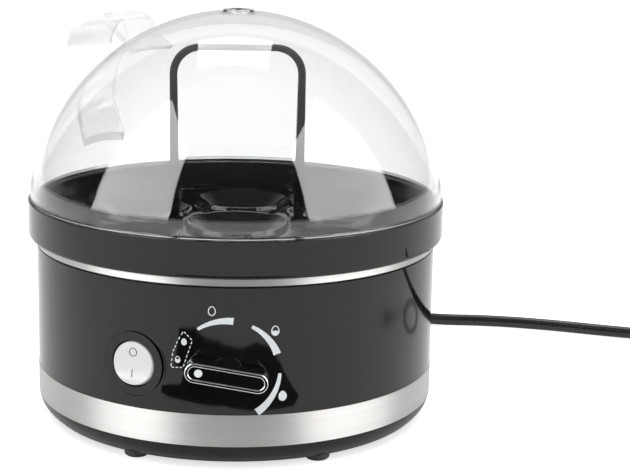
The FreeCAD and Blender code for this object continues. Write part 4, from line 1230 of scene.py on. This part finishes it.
    def build(self) -> None:
        """Print every mark and join them into one piece."""
        films = [self._arc(f"arc_{k}", *arc) for k, arc in enumerate(self.arcs)]
        for egg in self.eggs:
            films += self._egg(*egg)
        films += self._dashes()
        marks = join(films, "dial_marks")
        shade(marks, 20.0)
        dress(marks, PALETTE.get(DIAL_INK), Body.BASE)


@dataclass
class TimerKnob:
    """Knob: black core, bright sleeve, white dot and steel shaft."""

    pieces: tuple[Row, ...] = (
        Row("knob_body", "knob_core", GLOSS_BLACK, "black_gloss", 0.25),
        Row("knob_trim", "knob_sleeve", CHROME, "chrome_trim", 0.4),
        Row("knob_dot", "pointer_dot", DOT_WHITE, "dot_white", 0.12),
        Row("timer_shaft", "shaft", PLAIN_STEEL, "steel_inner", 0.2),
    )

    def build(self) -> None:
        """Make the knob's pieces."""
        for row in self.pieces:
            row.build(30.0, Body.KNOB)


@dataclass
class MainsSwitch:
    """Round mains switch: flange, rocker and the marks on it."""

    azimuth: float = -25.3
    pivot: float = 86.4
    height: float = 43.6
    dish: float = 60.0
    dish_depth: float = 3.3
    tilt: float = 6.0
    ring: Pair = (1.7, 0.2)
    bar: Pair = (0.38, 3.4)
    mark_heights: Pair = (4.6, -4.2)

    def build(self) -> None:
        """Make the switch's pieces."""
        body = traced("switch_body", "switch_flange", 30.0, 0.35)
        dress(body, PALETTE.get(GLOSS_BLACK), Body.BASE)
        rocker = traced("rocker", "switch_rocker", 30.0, 0.9)
        dress(rocker, PALETTE.get(ROCKER_WHITE), Body.ROCKER)
        self._marks()

    def _marks(self) -> None:
        """A ring above and a bar below, inlaid in the dished face."""
        clear_selection()
        bpy.ops.mesh.primitive_torus_add(
            major_radius=self.ring[0] * MM, minor_radius=self.ring[1] * MM,
            major_segments=48, minor_segments=10,
        )
        ring = bpy.context.object
        bpy.ops.mesh.primitive_cube_add(size=1.0)
        bar = bpy.context.object
        bar.scale = (self.bar[0] * MM, self.bar[0] * MM, self.bar[1] * MM)
        bpy.ops.object.transform_apply(location=False, rotation=False, scale=True)
        round_edges(bar, 0.08, 35.0, 2)
        for mark, height in zip((ring, bar), self.mark_heights):
            front = self.pivot + self.dish_depth + self.dish - math.sqrt(self.dish ** 2 - height ** 2)
            slope = math.atan2(height, math.sqrt(self.dish ** 2 - height ** 2))
            stand = Matrix.Rotation(math.radians(90.0), 4, "X") if mark is ring else Matrix.Identity(4)
            lean = Matrix.Rotation(slope, 4, "X")
            place = Matrix.Translation((0, -front * MM, (self.height + height) * MM))
            pin = Matrix.Translation((0, -self.pivot * MM, self.height * MM))
            tip = pin @ Matrix.Rotation(math.radians(-self.tilt), 4, "X") @ pin.inverted()
            turn = Matrix.Rotation(math.radians(self.azimuth), 4, "Z")
            mark.data.transform(turn @ tip @ place @ lean @ stand)
        join([ring, bar], "rocker_marks")
        shade(ring, 40.0)
        dress(ring, PALETTE.get(MARK_GREY), Body.ROCKER)


# ---- what the housing hides ------------------------------------------------
@dataclass
class Inside:
    """Finishes of the CAD nodes that stay as they are."""

    finishes: dict[str, Finish] = field(default_factory=lambda: {
        "base_screws": PLAIN_STEEL, "bowl_gasket": GREY_SILICONE, "heater_plate": ALUMINIUM,
        "heating_element": PLAIN_STEEL, "heat_shield": ALUMINIUM, "bowl_studs": PLAIN_STEEL,
        "stud_sleeves": CERAMIC, "shield_nuts": PLAIN_STEEL, "temperature_sensor": PLAIN_STEEL,
        "sensor_bracket": PLAIN_STEEL, "thermal_fuse": CERAMIC, "control_board": BOARD_GREEN,
        "board_screws": PLAIN_STEEL, "potentiometer": PLAIN_STEEL, "relay": BLUE_PART,
        "capacitor": GLOSS_BLACK, "buzzer": SATIN_BLACK, "terminal_block": CERAMIC,
        "cord_clamp": SATIN_BLACK, "clamp_screws": PLAIN_STEEL, "inner_cord": SHEATH,
        "rocker_pin": PLAIN_STEEL, "switch_terminals": BRASS, "lead_live": LEAD_BROWN,
        "lead_neutral": LEAD_BLUE, "lead_heater": LEAD_WHITE,
    })

    def build(self) -> None:
        """Dress every remaining node."""
        for node, finish in self.finishes.items():
            dress(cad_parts[node], PALETTE.get(finish))


def main() -> None:
    """Build the stage and the pieces in order."""
    logging.basicConfig(level=logging.INFO, format="%(name)s: %(message)s")
    for section in (
        Studio(), MainsCord(), Lid(), EggTray(), Housing(), DialPrint(), TimerKnob(), MainsSwitch(), Inside(),
    ):
        section.build()
        LOG.info("%s done", type(section).__name__)
    clear_selection()


if __name__ == "__main__":
    main()
